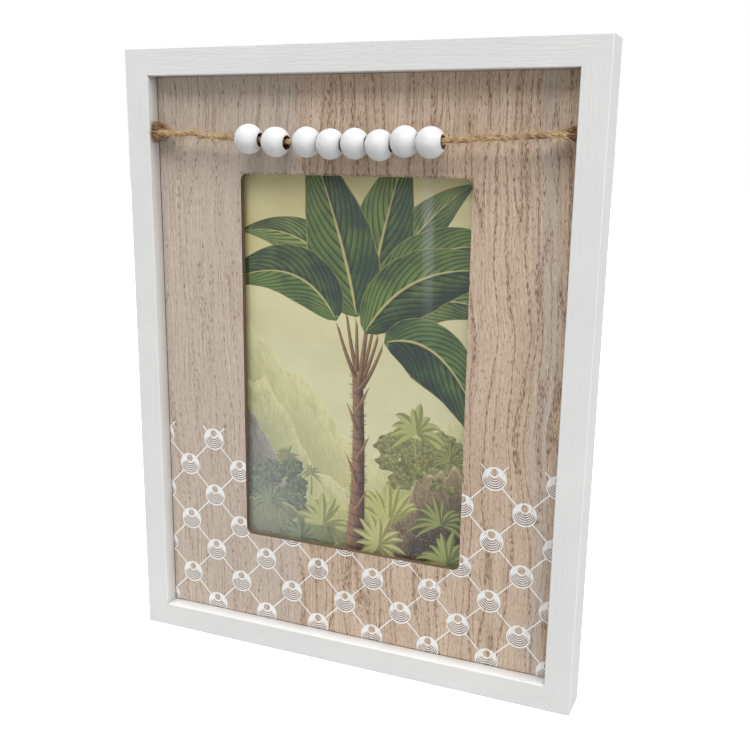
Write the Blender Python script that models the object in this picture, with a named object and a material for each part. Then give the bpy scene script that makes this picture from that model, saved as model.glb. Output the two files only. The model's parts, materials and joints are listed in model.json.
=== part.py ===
"""A floating photo frame: a shallow white box frame with a veneered panel set back in it.

The panel's window shows a 10 x 15 cm print behind glass. A jute cord with eight wooden beads hangs
across the top of the recess. The back holds the layers with turn buttons, and carries an easel leg
on a hinge and a sawtooth hanger.

+X is to the right, +Y runs from the front to the back and +Z is up. The origin is the middle of the
frame's bottom edge. "Behind" below is a distance behind the front face of the rails.
"""

import math

import bmesh
import bpy
from mathutils import Matrix

MM = 0.001
GAP = 0.3 * MM  # between pieces that rest on each other

# Box frame
FRAME_WIDTH = 187 * MM
FRAME_HEIGHT = 240 * MM
FRAME_DEPTH = 15 * MM
FACE_WIDTH = 10 * MM  # a rail from the front
WALL = 6 * MM  # a rail behind its lip
LIP_DEPTH = 6.2 * MM
ARRIS = 0.3 * MM  # radius of the eased front edges
BACK_ARRIS = 0.3 * MM
MITRE_GAP = 0.1 * MM
FRONT = -FRAME_DEPTH / 2

# V-nails across the mitres
V_NAIL_LEG = 4.5 * MM
V_NAIL_THICKNESS = 0.5 * MM
V_NAIL_LENGTH = 7 * MM

# Layers in the rebate, from the front
LAYER_WIDTH = FRAME_WIDTH - 2 * (WALL + GAP)
LAYER_HEIGHT = FRAME_HEIGHT - 2 * (WALL + GAP)
PANEL_BEHIND = LIP_DEPTH + GAP
PANEL_THICKNESS = 2.5 * MM
WINDOW_WIDTH = 93.5 * MM
WINDOW_HEIGHT = 147.2 * MM
WINDOW_RADIUS = 2.8 * MM
WINDOW_CENTRE = FRAME_HEIGHT / 2 + 0.4 * MM
GLASS_BEHIND = PANEL_BEHIND + PANEL_THICKNESS + GAP
GLASS_THICKNESS = 2 * MM
GLASS_WIDTH = 102 * MM
GLASS_HEIGHT = 152 * MM
PAPER_GAP = 0.15 * MM
PRINT_BEHIND = GLASS_BEHIND + GLASS_THICKNESS + PAPER_GAP
PRINT_THICKNESS = 0.25 * MM
BOARD_BEHIND = PRINT_BEHIND + PRINT_THICKNESS + PAPER_GAP + 0.05 * MM
BOARD_THICKNESS = 2.7 * MM
BOARD_BACK = BOARD_BEHIND + BOARD_THICKNESS
SPACER_THICKNESS = BOARD_BEHIND - GLASS_BEHIND - GAP

# Cord and beads. The cord falls in a shallow V with a round bottom.
CORD_RADIUS = 1 * MM
CORD_LOW = 205.3 * MM  # height of the cord's lowest point
CORD_SLOPE = 0.056
CORD_BEND = 15 * MM  # length over which the two slopes meet
CORD_END = FRAME_WIDTH / 2 - FACE_WIDTH - 1.4 * MM
CORD_BEHIND = 0.6 * MM
CORD_END_BEHIND = 3.2 * MM  # the glued ends sit deeper in the recess
CORD_TURN = 6 * MM  # length over which the cord runs back to its glued end
CORD_POINTS = 40
GLUE_RADIUS = 2.4 * MM
GLUE_THICKNESS = 0.8 * MM
BEAD_RADIUS = 5.6 * MM
BEAD_LENGTH = 9.3 * MM
BORE_RADIUS = 2.3 * MM
BORE_CHAMFER = 0.3 * MM
BEAD_STEPS = 10  # facets from one end of a bead to the other
BEAD_PITCH = BEAD_LENGTH + GAP
RIGHT_BEAD = 32.8 * MM  # place of the last bead along X
# From left to right: free gap before the next bead, drop below the cord's line, and yaw in degrees
BEAD_HANG = (
    (1.8 * MM, 0.0, 2),
    (3.2 * MM, 0.4 * MM, -7),
    (0.0, -0.2 * MM, 2),
    (0.0, 0.1 * MM, -2),
    (0.0, -0.1 * MM, 1),
    (0.0, 0.6 * MM, -1),
    (0.0, -0.3 * MM, 2),
    (0.0, 0.4 * MM, -3),
)

# Turn buttons on the back of the side rails
BUTTON_HEIGHTS = (62 * MM, 178 * MM)
BUTTON_PIVOT = FRAME_WIDTH / 2 - 3.1 * MM
BUTTON_REACH = 10.5 * MM
BUTTON_WIDTH = 5.4 * MM
BUTTON_THICKNESS = 0.8 * MM
BUTTON_BEHIND = FRAME_DEPTH + GAP
SCREW_RADIUS = 0.9 * MM
SCREW_HEAD_RADIUS = 2.1 * MM
SCREW_HEAD_HEIGHT = 1.3 * MM
SCREW_LENGTH = 6.5 * MM
SCREW_HOLE_RADIUS = SCREW_RADIUS + GAP
RECESS_WIDTH = 0.6 * MM
RECESS_LENGTH = 2.2 * MM
RECESS_DEPTH = 0.7 * MM
FLAT_HEAD = ((1, 0), (1, 0.6), (0.8, 1), (0, 1))  # half section, as shares of its radius and height
TIP_SHARE = 0.55  # radius of a shank's blunt tip, as a share of the shank's

# Easel leg and its hinge
HINGE_HEIGHT = 168 * MM
HINGE_WIDTH = 26 * MM
LEAF_THICKNESS = 0.7 * MM
KNUCKLE_RADIUS = 1.45 * MM
MIDDLE_KNUCKLE = 13.4 * MM  # width of the moving leaf's knuckle
PIN_RADIUS = 0.72 * MM
PIN_BORE_RADIUS = 0.8 * MM
PIN_HEAD_RADIUS = 1.1 * MM
PIN_HEAD_LENGTH = 0.5 * MM
FIXED_LEAF_BEHIND = BOARD_BACK + GAP
FIXED_LEAF_LENGTH = 13 * MM
FIXED_LEAF_CORNER = 2 * MM
STRUT_BEHIND = BOARD_BACK + GAP
STRUT_THICKNESS = 2.2 * MM
STRUT_BOTTOM = WALL + 1 * MM
STRUT_TOP_WIDTH = 34 * MM
STRUT_FOOT_WIDTH = 58 * MM
STRUT_CORNER = 4 * MM
MOVING_LEAF_BEHIND = STRUT_BEHIND + STRUT_THICKNESS + GAP
MOVING_LEAF_LENGTH = 21 * MM
MOVING_LEAF_WIDTH = HINGE_WIDTH - 2 * MM
MOVING_LEAF_TIP = 16 * MM  # width of its lower end
MOVING_LEAF_CORNER = 3 * MM
HINGE_BEHIND = MOVING_LEAF_BEHIND + LEAF_THICKNESS - KNUCKLE_RADIUS
SWING_ROOM = 2 * MM  # from the pin's axis to the strut and to each leaf's notch
RIVET_RADIUS = 1.1 * MM
RIVET_HEAD_RADIUS = 2 * MM
RIVET_HEAD_HEIGHT = 0.8 * MM
RIVET_HOLE_RADIUS = RIVET_RADIUS + GAP
BOARD_RIVET_RISE = 8 * MM  # above the pin's axis
BOARD_RIVET_OUT = 8 * MM  # from the middle
STRUT_RIVET_DROPS = (7 * MM, 15.5 * MM)  # below the pin's axis

# Sawtooth hanger on the back of the top rail
HANGER_WIDTH = 44 * MM
HANGER_TAB = 8 * MM  # flat end that is nailed down
HANGER_RISE = 1.1 * MM  # how far the toothed middle stands off
HANGER_BEND = 1.5 * MM  # length of the bend between the tab and the middle
HANGER_THICKNESS = 0.7 * MM
HANGER_TOP = FRAME_HEIGHT - 1 * MM
HANGER_HEIGHT = 6.6 * MM
HANGER_TEETH = 7
TOOTH_DEPTH = 1.3 * MM
NAIL_RADIUS = 0.6 * MM
NAIL_HEAD_RADIUS = 1.5 * MM
NAIL_HEAD_HEIGHT = 0.6 * MM
NAIL_LENGTH = 6 * MM

# Modelling
SMOOTH_ANGLE = math.radians(35)
ROUND_SEGMENTS = 24  # round a bead, knuckle or pin
SMALL_SEGMENTS = 16  # round a rivet, screw, nail or glue spot
DRILL_SEGMENTS = 20
OVERRUN = 1 * MM  # how far a cutter runs past the surfaces it opens


def clear_scene():
    for obj in list(bpy.data.objects):
        bpy.data.objects.remove(obj, do_unlink=True)


def material(name, colour, roughness, metallic=0.0, alpha=1.0):
    made = bpy.data.materials.new(name)
    made.use_nodes = True
    shader = made.node_tree.nodes["Principled BSDF"]
    shader.inputs["Base Color"].default_value = (*colour, 1.0)
    shader.inputs["Roughness"].default_value = roughness
    shader.inputs["Metallic"].default_value = metallic
    shader.inputs["Alpha"].default_value = alpha
    made.diffuse_color = (*colour, alpha)
    return made


def empty(name, location, parent=None):
    made = bpy.data.objects.new(name, None)
    bpy.context.scene.collection.objects.link(made)
    made.location = location
    made.parent = parent
    return made


def mesh_object(name, bm, look=None, parent=None, smooth=False):
    """Ends a bmesh as a named object, with its faces pointing out."""
    bmesh.ops.recalc_face_normals(bm, faces=bm.faces)
    mesh = bpy.data.meshes.new(name)
    bm.to_mesh(mesh)
    bm.free()
    if smooth:
        mesh.shade_smooth()
        mesh.set_sharp_from_angle(angle=SMOOTH_ANGLE)
    if look:
        mesh.materials.append(look)
    made = bpy.data.objects.new(name, mesh)
    bpy.context.scene.collection.objects.link(made)
    made.parent = parent
    return made


def as_cutter(obj):
    obj.hide_render = True
    obj.display_type = "WIRE"
    return obj


def cut(target, cutter):
    """Takes the cutter's shape out of the target."""
    modifier = target.modifiers.new("Cut " + cutter.name, "BOOLEAN")
    modifier.operation = "DIFFERENCE"
    modifier.object = cutter


def arc(centre, radius, start, end, steps):
    """Points on an arc, with angles in degrees."""
    points = []
    for i in range(steps + 1):
        angle = math.radians(start + (end - start) * i / steps)
        points.append((centre[0] + radius * math.cos(angle), centre[1] + radius * math.sin(angle)))
    return points


def rectangle(width, height):
    x, z = width / 2, height / 2
    return [(-x, -z), (x, -z), (x, z), (-x, z)]


def rounded_rectangle(width, height, radius, steps=6):
    x, z = width / 2 - radius, height / 2 - radius
    corners = ((x, -z, -90), (x, z, 0), (-x, z, 90), (-x, -z, 180))
    return [p for cx, cz, start in corners for p in arc((cx, cz), radius, start, start + 90, steps)]


def extruded(rings):
    """A solid through rings of points that all have the same count, with flat ends."""
    bm = bmesh.new()
    made = [[bm.verts.new(p) for p in ring] for ring in rings]
    count = len(made[0])
    for low, high in zip(made, made[1:]):
        for i in range(count):
            j = (i + 1) % count
            bm.faces.new((low[i], low[j], high[j], high[i]))
    bm.faces.new(made[0][::-1])
    bm.faces.new(made[-1])
    return bm


def plate(outline, behind, thickness):
    """A flat plate whose outline is (x, z) points, between two depths behind the front face."""
    return extruded([[(x, FRONT + y, z) for x, z in outline] for y in (behind, behind + thickness)])


def turned(profile, segments):
    """A solid of revolution about local X, from (along, radius) points that run from axis to axis."""
    bm = bmesh.new()
    verts = [bm.verts.new((along, 0, radius)) for along, radius in profile]
    edges = [bm.edges.new(pair) for pair in zip(verts, verts[1:])]
    bmesh.ops.spin(
        bm,
        geom=verts + edges,
        axis=(1, 0, 0),
        cent=(0, 0, 0),
        angle=math.tau,
        steps=segments,
        use_merge=True,
    )
    bmesh.ops.remove_doubles(bm, verts=bm.verts, dist=0.0001 * MM)
    return bm


def rod(name, radius, start, end, location, axis, segments=DRILL_SEGMENTS):
    """A cutter rod from start to end along X or Y through the location."""
    bm = turned([(start, 0), (start, radius), (end, radius), (end, 0)], segments)
    made = as_cutter(mesh_object(name, bm))
    made.location = location
    if axis == "Y":
        made.rotation_euler.z = math.pi / 2
    return made


def drill(targets, name, x, z, behind_from, behind_to, radius):
    """A round hole through each target, along Y."""
    cutter = rod(name + "_drill", radius, behind_from, behind_to, (x, FRONT, z), "Y")
    for target in targets:
        cut(target, cutter)


def headed(name, look, parent, x, z, behind, head_radius, head_height, radius, length, dome):
    """A turned fastener along Y: a domed or flat head behind the given depth, and a shank forward of it."""
    head = arc((0, 0), 1, 0, 90, 4) if dome else FLAT_HEAD
    profile = [(-length, 0), (-length, radius * TIP_SHARE), (-length + radius, radius), (0, radius)]
    profile += [(head_height * along, head_radius * out) for out, along in head]
    profile[-1] = (head_height, 0)
    made = mesh_object(name, turned(profile, SMALL_SEGMENTS), look, parent, smooth=True)
    made.location = (x, FRONT + behind, z)
    made.rotation_euler.z = math.pi / 2
    return made


def rail_profile():
    """The rail's section as (inward, behind) points: lip, open rebate and eased edges."""
    outer = arc((ARRIS, ARRIS), ARRIS, 180, 270, 3)
    inner = arc((FACE_WIDTH - ARRIS, ARRIS), ARRIS, 270, 360, 3)
    back = arc((BACK_ARRIS, FRAME_DEPTH - BACK_ARRIS), BACK_ARRIS, 90, 180, 2)
    rebate = [(FACE_WIDTH, LIP_DEPTH), (WALL, LIP_DEPTH), (WALL, FRAME_DEPTH)]
    return outer + inner + rebate + back


def rail(name, length, location, turn, look, parent):
    """A rail along local X with mitred ends. Local Z points into the frame."""
    half = length / 2 - MITRE_GAP / math.sqrt(2)
    rings = []
    for end in (-1, 1):
        rings.append([(end * (half - inward), FRONT + behind, inward) for inward, behind in rail_profile()])
    made = mesh_object(name, extruded(rings), look, parent, smooth=True)
    made.location = location
    made.rotation_euler.y = turn
    return made


def box_frame(paint, parent):
    half_width, middle = FRAME_WIDTH / 2, FRAME_HEIGHT / 2
    quarter = math.pi / 2
    return {
        "bottom": rail("rail_bottom", FRAME_WIDTH, (0, 0, 0), 0, paint, parent),
        "left": rail("rail_left", FRAME_HEIGHT, (-half_width, 0, middle), quarter, paint, parent),
        "top": rail("rail_top", FRAME_WIDTH, (0, 0, FRAME_HEIGHT), 2 * quarter, paint, parent),
        "right": rail("rail_right", FRAME_HEIGHT, (half_width, 0, middle), -quarter, paint, parent),
    }


def v_shape(leg, thickness):
    """Outline of a right-angled V with its corner at the middle of the wall, legs along +X and +Z."""
    near, far, end = WALL / 2 - thickness / 2, WALL / 2 + thickness / 2, WALL / 2 + leg
    return [(near, near), (end, near), (end, far), (far, far), (far, end), (near, end)]


def v_nails(rails, steel, parent):
    """One V-nail across each mitre, sunk into the back face, each in its own slot."""
    corners = (
        ("bottom_left", -1, 0, 0),
        ("top_left", -1, 1, 90),
        ("top_right", 1, 1, 180),
        ("bottom_right", 1, 0, -90),
    )
    start = FRAME_DEPTH - V_NAIL_LENGTH
    for corner, side, top, turn in corners:
        slot_shape = v_shape(V_NAIL_LEG + GAP, V_NAIL_THICKNESS + 2 * GAP)
        slot = plate(slot_shape, start - GAP, V_NAIL_LENGTH + 2 * GAP)
        slot_cutter = mesh_object(f"v_slot_{corner}", slot)
        nail_shape = v_shape(V_NAIL_LEG, V_NAIL_THICKNESS)
        nail = mesh_object(f"v_nail_{corner}", plate(nail_shape, start, V_NAIL_LENGTH - GAP), steel, parent)
        for made in (slot_cutter, nail):
            made.location = (side * FRAME_WIDTH / 2, 0, top * FRAME_HEIGHT)
            made.rotation_euler.y = math.radians(turn)
        as_cutter(slot_cutter)
        for rail_name in corner.split("_"):
            cut(rails[rail_name], slot_cutter)


def shifted(outline, height):
    return [(x, z + height) for x, z in outline]


def ring_board(name, window, behind, thickness, look, parent):
    """A full-size board with an opening in it."""
    outline = shifted(rectangle(LAYER_WIDTH, LAYER_HEIGHT), FRAME_HEIGHT / 2)
    board = mesh_object(name, plate(outline, behind, thickness), look, parent)
    opening = plate(shifted(window, WINDOW_CENTRE), behind - OVERRUN, thickness + 2 * OVERRUN)
    cut(board, as_cutter(mesh_object(name + "_opening", opening)))
    return board


def layers(veneer, glass, paper, card, board_look, parent):
    window = rounded_rectangle(WINDOW_WIDTH, WINDOW_HEIGHT, WINDOW_RADIUS)
    ring_board("front_panel", window, PANEL_BEHIND, PANEL_THICKNESS, veneer, parent)
    pocket = rectangle(GLASS_WIDTH + 2 * GAP, GLASS_HEIGHT + 2 * GAP)
    ring_board("spacer_board", pocket, GLASS_BEHIND, SPACER_THICKNESS, card, parent)
    pane = shifted(rectangle(GLASS_WIDTH, GLASS_HEIGHT), WINDOW_CENTRE)
    mesh_object("glass_pane", plate(pane, GLASS_BEHIND, GLASS_THICKNESS), glass, parent)
    sheet = shifted(rectangle(GLASS_WIDTH - GAP, GLASS_HEIGHT - GAP), WINDOW_CENTRE)
    mesh_object("picture_print", plate(sheet, PRINT_BEHIND, PRINT_THICKNESS), paper, parent)
    back = shifted(rectangle(LAYER_WIDTH, LAYER_HEIGHT), FRAME_HEIGHT / 2)
    board = plate(back, BOARD_BEHIND, BOARD_THICKNESS)
    return mesh_object("backing_board", board, board_look, parent)


def cord_height(x):
    return CORD_LOW + CORD_SLOPE * (math.hypot(x, CORD_BEND) - CORD_BEND)


def cord_tilt(x):
    """The cord's slope at x, as an angle about -Y."""
    return math.atan(CORD_SLOPE * x / math.hypot(x, CORD_BEND))


def cord_behind(x):
    """How far behind the front face the cord runs: level, then back to its glued ends."""
    t = max(0.0, (abs(x) - CORD_END + CORD_TURN) / CORD_TURN)
    return CORD_BEHIND + (CORD_END_BEHIND - CORD_BEHIND) * t * t * (3 - 2 * t)


def cord(jute, parent):
    curve = bpy.data.curves.new("jute_cord", "CURVE")
    curve.dimensions = "3D"
    curve.bevel_depth = CORD_RADIUS
    curve.bevel_resolution = 2
    curve.use_fill_caps = True
    curve.materials.append(jute)
    spline = curve.splines.new("POLY")
    spline.points.add(CORD_POINTS)
    for i, point in enumerate(spline.points):
        x = CORD_END * (2 * i / CORD_POINTS - 1)
        point.co = (x, FRONT + cord_behind(x), cord_height(x), 1)
    made = bpy.data.objects.new("jute_cord", curve)
    bpy.context.scene.collection.objects.link(made)
    made.parent = parent


def glue_spots(glue, parent):
    """Domes of hard glue on the inner faces of the side rails, at the cord's ends."""
    for side, name in ((-1, "glue_spot_left"), (1, "glue_spot_right")):
        dome = [(along * GLUE_THICKNESS, out * GLUE_RADIUS) for out, along in arc((0, 0), 1, 0, 90, 4)]
        profile = [(0, 0)] + dome[:-1] + [(GLUE_THICKNESS, 0)]
        made = mesh_object(name, turned(profile, SMALL_SEGMENTS), glue, parent, smooth=True)
        wall = side * (FRAME_WIDTH / 2 - FACE_WIDTH - GAP)
        made.location = (wall, FRONT + CORD_END_BEHIND, cord_height(wall))
        if side > 0:
            made.rotation_euler.z = math.pi


def bead_profile():
    """Half section of a bead as (along, radius): a ball with flat ends, bored through."""
    half = BEAD_LENGTH / 2
    limit = math.degrees(math.asin(half / BEAD_RADIUS))
    ball = arc((0, 0), BEAD_RADIUS, 90 + limit, 90 - limit, BEAD_STEPS)
    bore = [(half, BORE_RADIUS + BORE_CHAMFER), (half - BORE_CHAMFER, BORE_RADIUS)]
    bore += [(-along, radius) for along, radius in reversed(bore)]
    return ball + bore


def beads(paint, parent):
    """Eight beads on the cord. Each one's origin is its centre, on the line that it slides along."""
    x = RIGHT_BEAD - (len(BEAD_HANG) - 1) * BEAD_PITCH - sum(gap for gap, _, _ in BEAD_HANG)
    for number, (gap, drop, yaw) in enumerate(BEAD_HANG, start=1):
        section = bead_profile()
        ball = turned(section + section[:1], ROUND_SEGMENTS)
        made = mesh_object(f"bead_{number}", ball, paint, parent, smooth=True)
        made.location = (x, FRONT + cord_behind(x), cord_height(x) - drop)
        made.rotation_euler = (0, -cord_tilt(x), math.radians(yaw))
        x += BEAD_PITCH + gap


def button_outline():
    """A lozenge with round ends, from the pivot at (0, 0) to its tip along +X."""
    radius = BUTTON_WIDTH / 2
    tip = BUTTON_REACH - radius
    return arc((tip, 0), radius, -90, 90, 8) + arc((0, 0), radius, 90, 270, 8)


def cross_outline():
    """A plus sign for a screw's recess."""
    a, b = RECESS_WIDTH / 2, RECESS_LENGTH / 2
    quarter = ((b, -a), (b, a), (a, a))
    points = []
    for turn in range(4):
        for x, z in quarter:
            for _ in range(turn):
                x, z = -z, x
            points.append((x, z))
    return points


def turn_buttons(rails, steel, screw_steel, parent):
    """Four steel buttons that hold the backing board, two on each side rail, each on its own screw."""
    places = [(side, height) for side in (-1, 1) for height in BUTTON_HEIGHTS]
    for number, (side, height) in enumerate(places, start=1):
        x = side * BUTTON_PIVOT
        wood = rails["left" if side < 0 else "right"]
        hole_end = FRAME_DEPTH - SCREW_LENGTH - GAP
        drill([wood], f"pilot_{number}", x, height, hole_end, FRAME_DEPTH + OVERRUN, SCREW_HOLE_RADIUS)
        body = plate(button_outline(), BUTTON_BEHIND, BUTTON_THICKNESS)
        button = mesh_object(f"turn_button_{number}", body, steel, parent, smooth=True)
        button.location = (x, 0, height)
        if side > 0:
            button.rotation_euler.y = math.pi
        clearance = (BUTTON_BEHIND - OVERRUN, BUTTON_BEHIND + BUTTON_THICKNESS + OVERRUN)
        drill([button], f"button_hole_{number}", x, height, *clearance, SCREW_HOLE_RADIUS)
        seat = BUTTON_BEHIND + BUTTON_THICKNESS + GAP
        length = seat - FRAME_DEPTH + SCREW_LENGTH
        sizes = (SCREW_HEAD_RADIUS, SCREW_HEAD_HEIGHT, SCREW_RADIUS, length)
        screw = headed(f"button_screw_{number}", screw_steel, parent, x, height, seat, *sizes, dome=False)
        recess = plate(cross_outline(), seat + SCREW_HEAD_HEIGHT - RECESS_DEPTH, RECESS_DEPTH + OVERRUN)
        cutter = as_cutter(mesh_object(f"screw_recess_{number}", recess))
        cutter.location = (x, 0, height)
        cut(screw, cutter)


def joined(target, other):
    """Adds another closed shape to the target's solid."""
    modifier = target.modifiers.new("Join " + other.name, "BOOLEAN")
    modifier.operation = "UNION"
    modifier.object = other
    as_cutter(other)


def knuckle(name, start, end):
    place = (0, FRONT + HINGE_BEHIND, HINGE_HEIGHT)
    return rod(name, KNUCKLE_RADIUS, start, end, place, "X", ROUND_SEGMENTS)


def hinge_fixed_leaf(steel, parent):
    """The upper leaf: a plate on the backing board with a knuckle at each side of a notch."""
    side, notch = HINGE_WIDTH / 2, MIDDLE_KNUCKLE / 2 + GAP
    low, mid = HINGE_HEIGHT, HINGE_HEIGHT + SWING_ROOM
    top = HINGE_HEIGHT + FIXED_LEAF_LENGTH
    corner = FIXED_LEAF_CORNER
    outline = [(-side, low), (-notch, low), (-notch, mid), (notch, mid), (notch, low), (side, low)]
    outline += arc((side - corner, top - corner), corner, 0, 90, 4)
    outline += arc((-side + corner, top - corner), corner, 90, 180, 4)
    leaf = mesh_object("hinge_fixed_leaf", plate(outline, FIXED_LEAF_BEHIND, LEAF_THICKNESS), steel, parent)
    joined(leaf, knuckle("knuckle_left", -side, -notch))
    joined(leaf, knuckle("knuckle_right", notch, side))
    return leaf


def hinge_moving_leaf(steel, parent):
    """The lower leaf: a tapered plate on the strut with one knuckle in the middle."""
    side, tongue = MOVING_LEAF_WIDTH / 2, MIDDLE_KNUCKLE / 2
    low, mid = -MOVING_LEAF_LENGTH, -SWING_ROOM
    tip, corner = MOVING_LEAF_TIP / 2 - MOVING_LEAF_CORNER, MOVING_LEAF_CORNER
    outline = [(-tongue, 0), (-tongue, mid), (-side, mid), (-side, 2 * mid)]
    outline += arc((-tip, low + corner), corner, 180, 270, 4)
    outline += arc((tip, low + corner), corner, 270, 360, 4)
    outline += [(side, 2 * mid), (side, mid), (tongue, mid), (tongue, 0)]
    shape = plate(shifted(outline, HINGE_HEIGHT), MOVING_LEAF_BEHIND, LEAF_THICKNESS)
    leaf = mesh_object("hinge_moving_leaf", shape, steel)
    hang_on(parent, leaf)
    joined(leaf, knuckle("knuckle_middle", -tongue, tongue))
    return leaf


def hang_on(axis_empty, obj):
    """Parents a piece to the hinge's axis and keeps it where it is, with its origin on that axis."""
    obj.data.transform(Matrix.Translation(-axis_empty.location))
    obj.parent = axis_empty


def strut_outline():
    """The leg from its hinge end down to its wider foot."""
    top = HINGE_HEIGHT - SWING_ROOM
    head, foot = STRUT_TOP_WIDTH / 2, STRUT_FOOT_WIDTH / 2
    corner = STRUT_CORNER
    points = arc((foot - corner, STRUT_BOTTOM + corner), corner, -90, 0, 4)
    points += arc((head - corner, top - corner), corner, 0, 90, 4)
    points += arc((-head + corner, top - corner), corner, 90, 180, 4)
    points += arc((-foot + corner, STRUT_BOTTOM + corner), corner, 180, 270, 4)
    return points


def easel_leg(board, board_look, steel, rivet_steel, parent):
    axis = empty("strut_axis", (0, FRONT + HINGE_BEHIND, HINGE_HEIGHT), parent)
    strut = mesh_object("strut_leg", plate(strut_outline(), STRUT_BEHIND, STRUT_THICKNESS), board_look)
    hang_on(axis, strut)
    fixed = hinge_fixed_leaf(steel, parent)
    moving = hinge_moving_leaf(steel, axis)
    side = HINGE_WIDTH / 2
    reach = side + OVERRUN
    bore = rod("pin_bore", PIN_BORE_RADIUS, -reach, reach, axis.location, "X", ROUND_SEGMENTS)
    cut(fixed, bore)
    cut(moving, bore)
    hinge_pin(rivet_steel, parent, axis.location)
    over_board = FIXED_LEAF_BEHIND + LEAF_THICKNESS + GAP
    height = HINGE_HEIGHT + BOARD_RIVET_RISE
    for name, x in (("board_rivet_left", -BOARD_RIVET_OUT), ("board_rivet_right", BOARD_RIVET_OUT)):
        rivet(name, x, height, over_board, BOARD_BEHIND, [board, fixed], rivet_steel, parent)
    over_strut = MOVING_LEAF_BEHIND + LEAF_THICKNESS + GAP
    for name, drop in zip(("strut_rivet_upper", "strut_rivet_lower"), STRUT_RIVET_DROPS):
        height = HINGE_HEIGHT - drop
        made = rivet(name, 0, height, over_strut, STRUT_BEHIND, [strut, moving], rivet_steel, None)
        made.parent = axis
        made.location -= axis.location


def hinge_pin(steel, parent, location):
    """The pin, with a head at each end, clear of the knuckles."""
    inner = HINGE_WIDTH / 2 + GAP
    outer = inner + PIN_HEAD_LENGTH
    profile = [(-outer, 0), (-outer, PIN_HEAD_RADIUS), (-inner, PIN_HEAD_RADIUS), (-inner, PIN_RADIUS)]
    profile += [(-along, radius) for along, radius in reversed(profile)]
    pin = mesh_object("hinge_pin", turned(profile, ROUND_SEGMENTS), steel, parent, smooth=True)
    pin.location = location


def rivet(name, x, z, seat, front, targets, steel, parent):
    """A domed rivet through a leaf and the board under it, short of the board's front."""
    drill(targets, name, x, z, front - OVERRUN, seat + OVERRUN, RIVET_HOLE_RADIUS)
    sizes = (RIVET_HEAD_RADIUS, RIVET_HEAD_HEIGHT, RIVET_RADIUS, seat - front - GAP)
    return headed(name, steel, parent, x, z, seat, *sizes, dome=True)


def hanger_columns():
    """The hanger from left to right as (x, stand-off, lower edge) columns, with teeth on its middle."""
    low = HANGER_TOP - HANGER_HEIGHT
    half, flat = HANGER_WIDTH / 2, HANGER_WIDTH / 2 - HANGER_TAB
    teeth_half = flat - HANGER_BEND
    columns = [(-half, 0, low), (-flat, 0, low)]
    for i in range(2 * HANGER_TEETH + 1):
        x = teeth_half * (i / HANGER_TEETH - 1)
        columns.append((x, HANGER_RISE, low + TOOTH_DEPTH * (i % 2)))
    columns += [(flat, 0, low), (half, 0, low)]
    return columns


def hanger(rail_top, steel, nail_steel, parent):
    behind = FRAME_DEPTH + GAP
    rings = []
    for x, rise, low in hanger_columns():
        near, far = FRONT + behind + rise, FRONT + behind + rise + HANGER_THICKNESS
        rings.append([(x, near, low), (x, near, HANGER_TOP), (x, far, HANGER_TOP), (x, far, low)])
    made = mesh_object("sawtooth_hanger", extruded(rings), steel, parent)
    seat = behind + HANGER_THICKNESS + GAP
    height = FRAME_HEIGHT - WALL / 2
    for side, name in ((-1, "hanger_nail_left"), (1, "hanger_nail_right")):
        x = side * (HANGER_WIDTH - HANGER_TAB) / 2
        hole_end = FRAME_DEPTH - NAIL_LENGTH - GAP
        drill([rail_top, made], name, x, height, hole_end, seat + OVERRUN, NAIL_RADIUS + GAP)
        sizes = (NAIL_HEAD_RADIUS, NAIL_HEAD_HEIGHT, NAIL_RADIUS, seat - FRAME_DEPTH + NAIL_LENGTH)
        headed(name, nail_steel, parent, x, height, seat, *sizes, dome=True)


def build():
    clear_scene()
    white_paint = material("white_paint", (0.83, 0.83, 0.82), 0.5)
    bead_paint = material("bead_paint", (0.86, 0.87, 0.88), 0.62)
    veneer = material("veneer", (0.48, 0.37, 0.29), 0.7)
    glass = material("glass", (0.9, 0.95, 0.92), 0.05, alpha=0.35)
    print_paper = material("print_paper", (0.45, 0.44, 0.24), 0.45)
    grey_card = material("grey_card", (0.42, 0.39, 0.34), 0.85)
    fibreboard = material("fibreboard", (0.33, 0.2, 0.11), 0.75)
    jute = material("jute", (0.5, 0.34, 0.17), 0.9)
    hard_glue = material("hard_glue", (0.35, 0.2, 0.09), 0.4)
    zinc = material("zinc", (0.62, 0.62, 0.6), 0.35, metallic=1.0)
    bright_steel = material("bright_steel", (0.7, 0.7, 0.7), 0.25, metallic=1.0)

    root = empty("floating_frame", (0, 0, 0))
    rails = box_frame(white_paint, root)
    v_nails(rails, zinc, root)
    board = layers(veneer, glass, print_paper, grey_card, fibreboard, root)
    cord(jute, root)
    glue_spots(hard_glue, root)
    beads(bead_paint, root)
    turn_buttons(rails, zinc, bright_steel, root)
    easel_leg(board, fibreboard, zinc, bright_steel, root)
    hanger(rails["top"], zinc, bright_steel, root)


build()
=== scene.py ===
"""The looks of the floating frame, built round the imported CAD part.

Metres, +X right, +Y from the front to the back, +Z up. The printed patterns are worked out in millimetres.
"""

import json
import math
import random

import bmesh
import bpy
import numpy as np
from mathutils import Matrix, Vector, geometry, noise

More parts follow.
